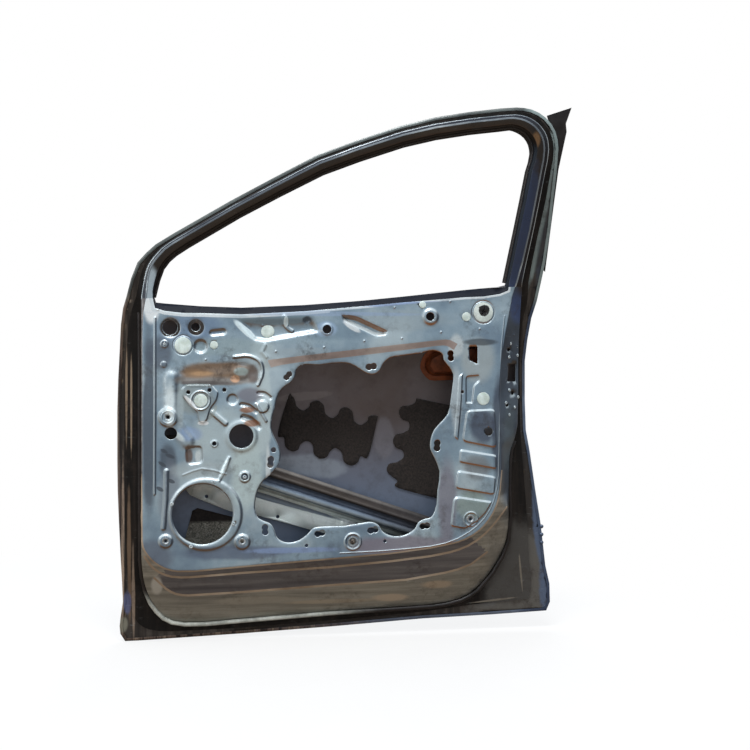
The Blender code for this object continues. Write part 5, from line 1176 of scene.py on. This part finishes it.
def panel():
    """The pressed inner panel, in place of its plain solid."""
    flange, lip_out, lip, foot, ledge, face = panel_rims()
    creases = [open_line(table, rim_depth) for table in (SILL_ROUND_PX, SILL_CREASE_PX)]
    window = ring_line("window", BELT_EDGE_PX, depth=frame_return)
    belt = ring_line("return", BELT_LINE_PX)
    module = [place(*p) for p in smooth([(x, y, d * panel_relief) for x, y, d in MODULE_OPENING_PX])]
    bands = [open_line(BAND_TOP_PX), open_line(BAND_FOOT_PX, panel_relief)]
    base = base_surface([flange, lip_out, lip, foot, ledge, face, window, belt, module], creases + bands)
    lip_line, ledge_line, face_line, belt_line = (in_plan(line) for line in (lip, ledge, face, belt))

    made = Sheet(in_plan(flange))
    for line in (flange, lip_out, lip, foot, ledge):
        made.ring(line)
    for line, width in ((face_line, 0.004), (belt_line, 0.0028)):
        made.line(line)
        made.beside(line, (-width, -width / 2, width / 2, width), 0.012)
    for line in creases + bands:
        made.line(in_plan(line), closed=False)
    for line in creases:
        made.beside(in_plan(line), (SILL_LINE_HALF,), 0.012, False)
    made.beside(belt_line, (-0.0050, -0.0085), 0.012)
    made.beside(ledge_line, (0.0018,), 0.012)
    shoulder = [plan(*spot) for spot in SHOULDER_PX]
    made.line(shoulder, closed=False)
    made.ring(window)
    made.holes.append(in_plan(window))
    lips = cut_openings(made, module)
    forms, welds = reliefs()
    made.lines_of(forms + welds)
    made.scatter(loose_points(), in_plan(window))
    band = in_plan(bands[0] + bands[1][::-1])
    above_crease = in_plan(creases[1]) + [(0.9, 0.3), (0.0, 0.3)]

    def region(points):
        x, z = points[:, 0], points[:, 1]
        in_lip, in_ledge, in_face, in_belt = (
            within(points, line) for line in (lip_line, ledge_line, face_line, belt_line))
        share = (x - shoulder[0][0]) / (shoulder[1][0] - shoulder[0][0])
        high = z > shoulder[0][1] + share * (shoulder[1][1] - shoulder[0][1])
        latch = (x > plan(495, 400)[0]) & (z > plan(500, 470)[1])
        kind = np.full(len(points), FLANGE)
        kind[in_lip] = GROOVE
        kind[in_ledge] = np.where(high[in_ledge], FRAME_SLOPE, np.where(latch[in_ledge], LATCH, SILL))
        kind[in_face] = np.where(high[in_face], FRAME_FACE, FACE)
        kind[in_belt] = np.where(z[in_belt] > plan(300, 302)[1] + BELT_WALL_RISE, RETURN_WALL, BELT)
        kind[within(points, band)] = BAND
        # Strips along the lines get the painted highlight and reflection lines: LINE on the frame, BELT_ROLL
        # under the belt, SILL_LINE along the sill's edge and creases.
        off_face = np.abs(to_line(points, face_line, True))
        kind[(off_face < FRAME_LINE_HALF) & high] = LINE
        kind[(np.abs(to_line(points, ledge_line, True) - LEDGE_LINE) < LEDGE_LINE_HALF) & high] = LINE
        out = -to_line(points, belt_line, True)
        roll = np.where(x < plan(330, 310)[0], BELT_ROLL_FRONT, BELT_ROLL_REAR)
        kind[(out > 0) & (out < roll) & (kind == FACE)] = BELT_ROLL
        sill = (kind == SILL) & (z < plan(510, 470)[1])
        kind[sill & ~within(points, above_crease)] = SILL_LOWER
        kind[(off_face < FACE_EDGE) & sill] = SILL_LINE
        for line in creases:
            kind[(to_line(points, in_plan(line), False) < SILL_LINE_HALF) & sill] = SILL_LINE
        return kind

    obj = made.build("panel", base, forms + lips + welds, PANEL_LOOKS, sheet, region)
    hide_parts("inner_panel")


def smooth_pad(which, outline):
    """A damping pad with its round lobes, on the inside of the outer skin."""
    seat = lambda x, z: skin_depth(x, z) - bond - pad_thickness
    made = Sheet([plan(p.x, p.y, seat) for p in lobes(outline)])
    made.line(made.outline)
    low, high = np.array(made.outline).min(0), np.array(made.outline).max(0)
    columns, rows = (np.arange(low[i], high[i], PAD_STEP) for i in (0, 1))
    made.scatter([(x, z) for x in columns for z in rows])
    obj = made.build("pad_" + which, seat, [], [felt], pad_thickness)
    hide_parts("damping_pad_" + which)


def cup_cover():
    """The painted back of the outside handle's cup."""
    cup = [place(p.x, p.y, skin_depth) for p in rounded(HANDLE_CUP_PX, 0.3, 4)]
    edge = in_plan(inset(cup, -bond))
    made = Sheet(edge)
    made.line(edge)
    made.beside(edge, (0.002, 0.004, 0.006, 0.008, 0.011), 0.006)
    seat = lambda x, z: skin_depth(x, z) - bond - sheet
    wall = Relief(edge, -handle_cup_depth - 0.0025, 0.009)
    made.build("cup_back", seat, [wall], [bronze], 0.0008)


def beam_flange():
    """The pale flange under the impact beam, with its two holes."""
    made = Sheet([plan(p.x, p.y, beam_flange_depth) for p in rounded(BEAM_FLANGE_PX, 0.12, 3)])
    made.line(made.outline)
    for centre in BEAM_HOLES_PX:
        x, z = plan(*centre, beam_flange_depth)
        made.hole([(x + beam_flange_hole * cos(t), z + beam_flange_hole * sin(t)) for t in full_turn(16)])
    valley = Relief([plan(*spot, beam_flange_depth) for spot in BEAM_BEAD_PX], 0.004, 0.006, 0.009)
    made.lines_of([valley])
    # The long blue-grey streak along the bead's valley is painted shade.
    pale = pressed("beam flange primer", ("E6F4F0", "F6FFFC", "FFFFFF"), **BARE, dirt=0.3, metallic=0.1,
                   over=(((262, 496.0), (120, 3.2), "5C6C7E", 0.9, 0.3, 0.31, 0.08),))
    made.build("beam_flange", lambda x, z: beam_flange_depth, [valley], [pale], 0.0012)


def shade_smooth(obj):
    for polygon in obj.data.polygons:
        polygon.use_smooth = True
    normals = obj.modifiers.new("Normals", "WEIGHTED_NORMAL")
    normals.weight = 90


def turned(name, spots, profile, look, count=20, facing=Vector((0, -1, 0))):
    """Turned pieces at spots with a scale each; profile points are radius and height off the face."""
    facing = facing.normalized()
    side = facing.cross(Vector((0, 0, 1))).normalized()
    up = facing.cross(side)
    bm = bmesh.new()
    for spot, scale in spots:
        rings = []
        for radius, height in profile:
            base = spot + facing * height * scale
            around = full_turn(count) if radius else [0]
            rings.append([
                bm.verts.new(base + (side * cos(t) + up * sin(t)) * radius * scale) for t in around])
        for first, second in zip(rings, rings[1:]):
            for k in range(count):
                j = (k + 1) % count
                corners = [first[k], first[j]] if len(first) > 1 else first
                corners = corners + ([second[j], second[k]] if len(second) > 1 else second)
                bm.faces.new(corners)
    mesh = bpy.data.meshes.new(name)
    bmesh.ops.recalc_face_normals(bm, faces=bm.faces)
    bm.to_mesh(mesh)
    bm.free()
    mesh.materials.append(look)
    obj = new_object(name, mesh)
    shade_smooth(obj)
    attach(obj, "root")


def fittings():
    """Screws, the stud at the sill, weld dots and the bumps on the rear hem."""
    bright = plain_look("weld zinc", "9FB0B8", "E6EEF0", 0.4, 0.3, 0.5, 120, 0.1)
    screw = ((0.0, 0.0008), (0.0014, 0.0006), (0.0016, 0.0024), (0.0038, 0.0022), (0.0048, 0.0012),
             (0.0050, 0.0))
    heads = ((171.7, 504.0), (191.0, 546.4), (233.5, 523.6), (213.4, 482.0))
    turned("speaker_screws", [(place(*spot, -panel_relief), 1.0) for spot in heads], screw, bright)
    heads = ((244.7, 476.7, -0.003, 0.9), (164.4, 344.0, -0.0015, 0.7), (209.4, 385.4, -panel_relief, 0.55))
    turned("panel_screws", [(place(*spot), scale) for *spot, scale in heads], screw, bright)
    thread = tuple((0.0036 if k % 2 else 0.0030, 0.0138 - 0.0008 * k) for k in range(14))
    stud = ((0.0, 0.015), (0.0030, 0.0145)) + thread + ((0.0058, 0.0022), (0.0060, 0.0014))
    oxide = plain_look("stud steel", "2E2824", "7A7066", 0.6, 0.3, 0.5, 200, 0.1)
    turned("sill_stud", [(place(352.8, 541.4), 1.0)], stud, oxide, 18)
    dot = ((0.0, 0.0004), (0.0009, 0.0005), (0.0014, 0.0014), (0.0024, 0.0015), (0.0031, 0.0008),
           (0.0034, -0.0002))
    spots = [(place(*spot, latch_depth(*spot)), 1.25) for spot in WELDS]
    turned("weld_dots", spots, dot, bright, 14, Vector((0.66, -0.75, 0)))
    spots = [(place(541, py, skin_rim) + Vector((0, -0.0042, 0)), 1.0) for py in (526, 534, 542)]
    turned("hem_bumps", spots, ((0.0, 0.003), (0.003, 0.0024), (0.005, 0.0)), skin, 12)


def dress(obj, look):
    """Gives a solid its material and smooth shading."""
    obj.data.materials.clear()
    obj.data.materials.append(look)
    weld = obj.modifiers.new("Weld", "WELD")
    weld.merge_threshold = 2e-6
    shade_smooth(obj)


def add_camera():
    data = bpy.data.cameras.new("Camera")
    data.sensor_width = 36
    data.lens = data.sensor_width * FOCAL_PX / (2 * PICTURE_MIDDLE)
    camera = new_object("Camera", data)
    camera.location = (
        (-view_distance * sin(VIEW_YAW) - hinge_x) * length_scale,
        -view_distance * cos(VIEW_YAW) - hinge_mount_depth,
        -hinge_z * height_scale,
    )
    camera.rotation_euler = (radians(90), 0, -VIEW_YAW)
    bpy.context.scene.camera = camera


def lamp(name, spot, target, size, power, colour=(1, 1, 1)):
    area = bpy.data.lights.new(name, "AREA")
    area.shape = "RECTANGLE"
    area.size, area.size_y = size
    area.energy = power
    area.color = colour
    obj = new_object(name, area)
    obj.location = spot
    obj.rotation_euler = (Vector(target) - Vector(spot)).to_track_quat("-Z", "Y").to_euler()
    obj.visible_camera = False


def studio_world():
    """White for the camera; a brown floor, grey walls and a pale sky for light and gloss."""
    world = bpy.data.worlds.new("World")
    bpy.context.scene.world = world
    world.use_nodes = True
    made = Nodes(world.node_tree)
    background = made.tree.nodes["Background"]
    white = made.add("ShaderNodeBackground", Color=(1, 1, 1))
    height = made.part(made.add("ShaderNodeTexCoord").outputs["Generated"], 2)
    share = made.add("ShaderNodeMapRange", Value=height, From_Min=-1.0).outputs["Result"]
    sky = made.ramp(share, (0.0, "6A4A36"), (0.42, "8F9BA8"), (0.62, "F2F8FF"))
    made.feed(background.inputs["Color"], sky)
    background.inputs["Strength"].default_value = 0.75
    surface = made.blend(made.camera_ray(), background, white)
    made.feed(made.tree.nodes["World Output"].inputs["Surface"], surface)


def add_floor():
    """A pale floor that fades into the white world, and keeps a soft shadow."""
    low = min(corner[2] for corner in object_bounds())
    mesh = bpy.data.meshes.new("Floor")
    corners = [(-FLOOR_REACH, -FLOOR_REACH, 0), (FLOOR_REACH, -FLOOR_REACH, 0), (FLOOR_REACH, FLOOR_REACH, 0),
               (-FLOOR_REACH, FLOOR_REACH, 0)]
    mesh.from_pydata(corners, [], [(0, 1, 2, 3)])
    floor = new_object("Floor", mesh)
    floor.location.z = low - 0.0015
    look = Look("floor", 0.0, 0.9)
    distance = look.add("ShaderNodeVectorMath", operation="LENGTH", Vector=look.coord)
    far = look.fade(distance.outputs["Value"], 0.5, 1.5)
    camera_ray = look.camera_ray()
    pale = look.ramp(look.noise(3, 3), (0.3, 0.90), (0.7, 0.94))
    look.feed(look.shader.inputs["Base Color"], look.mix(camera_ray, rgb("8F7F70"), pale))
    glow_share = look.math("MULTIPLY", look.math("MAXIMUM", far, 0.75), camera_ray)
    surface = look.blend(glow_share, look.shader, look.add("ShaderNodeEmission"))
    look.feed(look.tree.nodes["Material Output"].inputs["Surface"], surface)
    mesh.materials.append(look.material)
    floor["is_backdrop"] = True


# A look with no painted highlight, shade or reflection by facing: one tone whichever way it faces
BARE = {"up": None, "down": None, "hinge_side": None, "latch_side": None}
# The panel is one painted steel. Its looks are copies of that paint with painted light: painted highlights on
# the belt roll and the frame and sill lines; painted shade in dark tones on the belt band, window return,
# frame face, frame slope, seal groove and latch face; painted brown reflections on the opening band, sill
# slopes and hinge wall; painted highlight lines at the seal groove's crease.
PANEL_LOOKS = [
    pressed("trim face", ("70869A", "92A9B8", "B8CAD2"), down_rear="A9744E", patches=FACE_PATCHES,
            over=FACE_OVER),
    pressed("belt band", ("0B0D12", "11151E", "1A2130"), "141A26", "0E0C0C", hinge_side="20262E",
            latch_side="0E1118", dirt=0.1, metallic=0.0, low=0.4, high=0.6, coat=0.0, shine=0.15),
    pressed("opening band", ("7E7672", "9A8A84", "B8ABA4"), "D8E2E6", "8E827C", dirt=0.4, metallic=0.05),
    pressed("sill slope", ("535154", "696768", "7E7B7A"), **BARE, low=0.26, high=0.5, patches=SILL_PATCHES,
            streaks=(3, 3, 60)),
    pressed("latch face", ("333D49", "44505E", "56636F"), "A9B6BC", "3A3430", latch_side=None, dirt=0.4,
            patches=(((522, 306), (18, 22), "3F5684", 0.9), ((512, 450), (10, 60), "5A6A72", 0.7))),
    pressed("seal groove", ("0A0908", "14110F", "2A2420"), "2A2622", "1A1512", hinge_side="2E2823",
            latch_side="08080A", dirt=0.4, low=0.4, high=0.7, streaks=(60, 60, 4), coat=0.1, shine=0.3,
            over=RIM_PATCHES + (
                ((530, 592), (52, 70), "54524F", 0.9, 0.25),
                ((529, 578), (1.3, 26), "837C70", 0.9, 0.3, -0.1),
                ((502, 606), (32, 1.2), "837C70", 0.9, 0.3, -0.09))),
    pressed("flange", ("1E1B1A", "35302C", "57504A"), "6E665A", "2A221C", hinge_side="6A5A48",
            latch_side="1E2026", dirt=0.6, low=0.35, high=0.6, streaks=(70, 50, 3), patches=REAR_PATCHES,
            over=RIM_PATCHES + (((552, 250), (12, 60), "3A4048", 0.6, 0.3, 0.1),)),
    pressed("frame face", ("1C1A1A", "2A241E", "3A3026"), "22303E", "2A211A", "38281C", "23262C", "1A2233",
            dirt=0.2, low=0.2, high=0.4, metallic=0.1, patches=(
                ((151, 285), (9, 24), "A9B9C2", 0.95), ((522, 240), (14, 78), "2A3A5C", 0.95, 0.2),
                ((510, 290), (18, 12), "3C5684", 0.9), ((536, 140), (6, 10), "7A5C3E", 0.9)), over=(
                ((523, 235), (15, 82), "2A364E", 0.85, 0.2, 0.12),
                ((242, 201), (9, 1.6), "AEB8BE", 0.9, 0.2, -0.5))),
    pressed("frame slope", ("0A0C12", "111828", "1C2434"), "1C2A44", "14110F", hinge_side="39434F",
            latch_side="060709", dirt=0.2, low=0.2, high=0.4, metallic=0.1),
    pressed("window return", ("0A0B0E", "101218", "1C2026"), "20242C", "1A1410", hinge_side="20262E",
            latch_side="0E1014", dirt=0.1, metallic=0.0, coat=0.0, shine=0.15),
    pressed("frame line", ("5E666E", "7E8890", "C3CCD0"), "8E989E", "6E665E", latch_side="D3DADC", dirt=0.2,
            patches=(((250, 190), (100, 90), "4A525C", 0.8),)),
    pressed("hinge wall", ("6E5E4A", "9A8266", "C4B08C"), "C9C0AE", "6A503E", hinge_side=None,
            latch_side=None, low=0.35, high=0.6, streaks=(60, 60, 5)),
    pressed("sill slope foot", ("75726A", "8E8B80", "A8A498"), **BARE, low=0.26, high=0.48,
            patches=SILL_PATCHES, streaks=(3, 3, 60)),
    pressed("sill line", ("96826E", "BCA993", "DCCFBC"), **BARE, dirt=0.3),
    pressed("belt roll", ("B4C6D2", "E4EEF2", "FAFFFF"), **BARE,
            patches=(((420, 305), (90, 5), "7F9CC8", 0.8), ((300, 313), (60, 4), "9FB6D2", 0.6))),
]
skin, felt = skin_paint(), pad_felt()
bronze = plain_look("handle bracket paint", "5A2E18", "9A5430", 0.35, 0.28, 0.5, 20, 0.1)
LOOKS = {
    "painted_steel": PANEL_LOOKS[FLANGE], "bronze_paint": bronze, "felt": felt,
    "primed_steel": plain_look("beam primer", "3A3330", "6B625C", 0.3, 0.35, 0.6, 12, 0.15),
    "plated_steel": plain_look("plated steel", "6B6350", "A89C7C", 0.8, 0.25, 0.5, 60, 0.1),
    "black_rubber": plain_look("seal rubber", "15100F", "2A2322", 0.0, 0.35, 0.6, 40, 0.2),
    "black_plastic": plain_look("cover plastic", "131112", "242223", 0.0, 0.30, 0.50, 50, 0.15),
    "white_plastic": plain_look(
        "plug plastic", "C9D6CE", "F2FFFA", 0.0, 0.25, 0.45, 60, 0.08, Subsurface_Weight=0.05),
}
zinc = plain_look("zinc plating", "8C949A", "CBD3D6", 0.7, 0.25, 0.45, 90, 0.08)
# The black ragged disc on the torn plug is painted shade in its torn opening.
torn = pressed("torn plug", ("C8D4D0", "DCE8E2", "F0F6F2"), **BARE, dirt=0.3, metallic=0.0, ragged=95,
               over=(((484, 310.5), (6.0, 6.0), "0C0D0E", 1.0, 0.1),))
OWN_LOOKS = {
    "outer_skin": skin, "plug_rear_torn": torn, "impact_beam": beam_paint(), "door_seal": seal_rubber(),
    **{node: zinc for node in INSERTS_PX},
}
slot_of = {row["node"]: row["material_slot"] for row in frame["record"]["subparts"]}
for node in sorted(nodes):
    dress(nodes[node], OWN_LOOKS.get(node, LOOKS[slot_of[node]]))

panel()
smooth_pad("front", PAD_FRONT_PX)
smooth_pad("rear", PAD_REAR_PX)
cup_cover()
fittings()
beam_flange()
add_camera()
lamp("Top", (0.1, -1.3, 2.5), (0.45, 0, 0), (1.4, 0.7), 50, (0.97, 0.99, 1.0))
lamp("Side", (-2.2, -1.8, 0.7), (0.4, 0, 0), (0.6, 1.6), 14, (1.0, 0.98, 0.95))
lamp("Back", (1.2, 2.4, 2.0), (0.45, 0, 0.1), (2.0, 1.5), 26)
studio_world()
add_floor()
bpy.context.scene.view_settings.view_transform = "Standard"
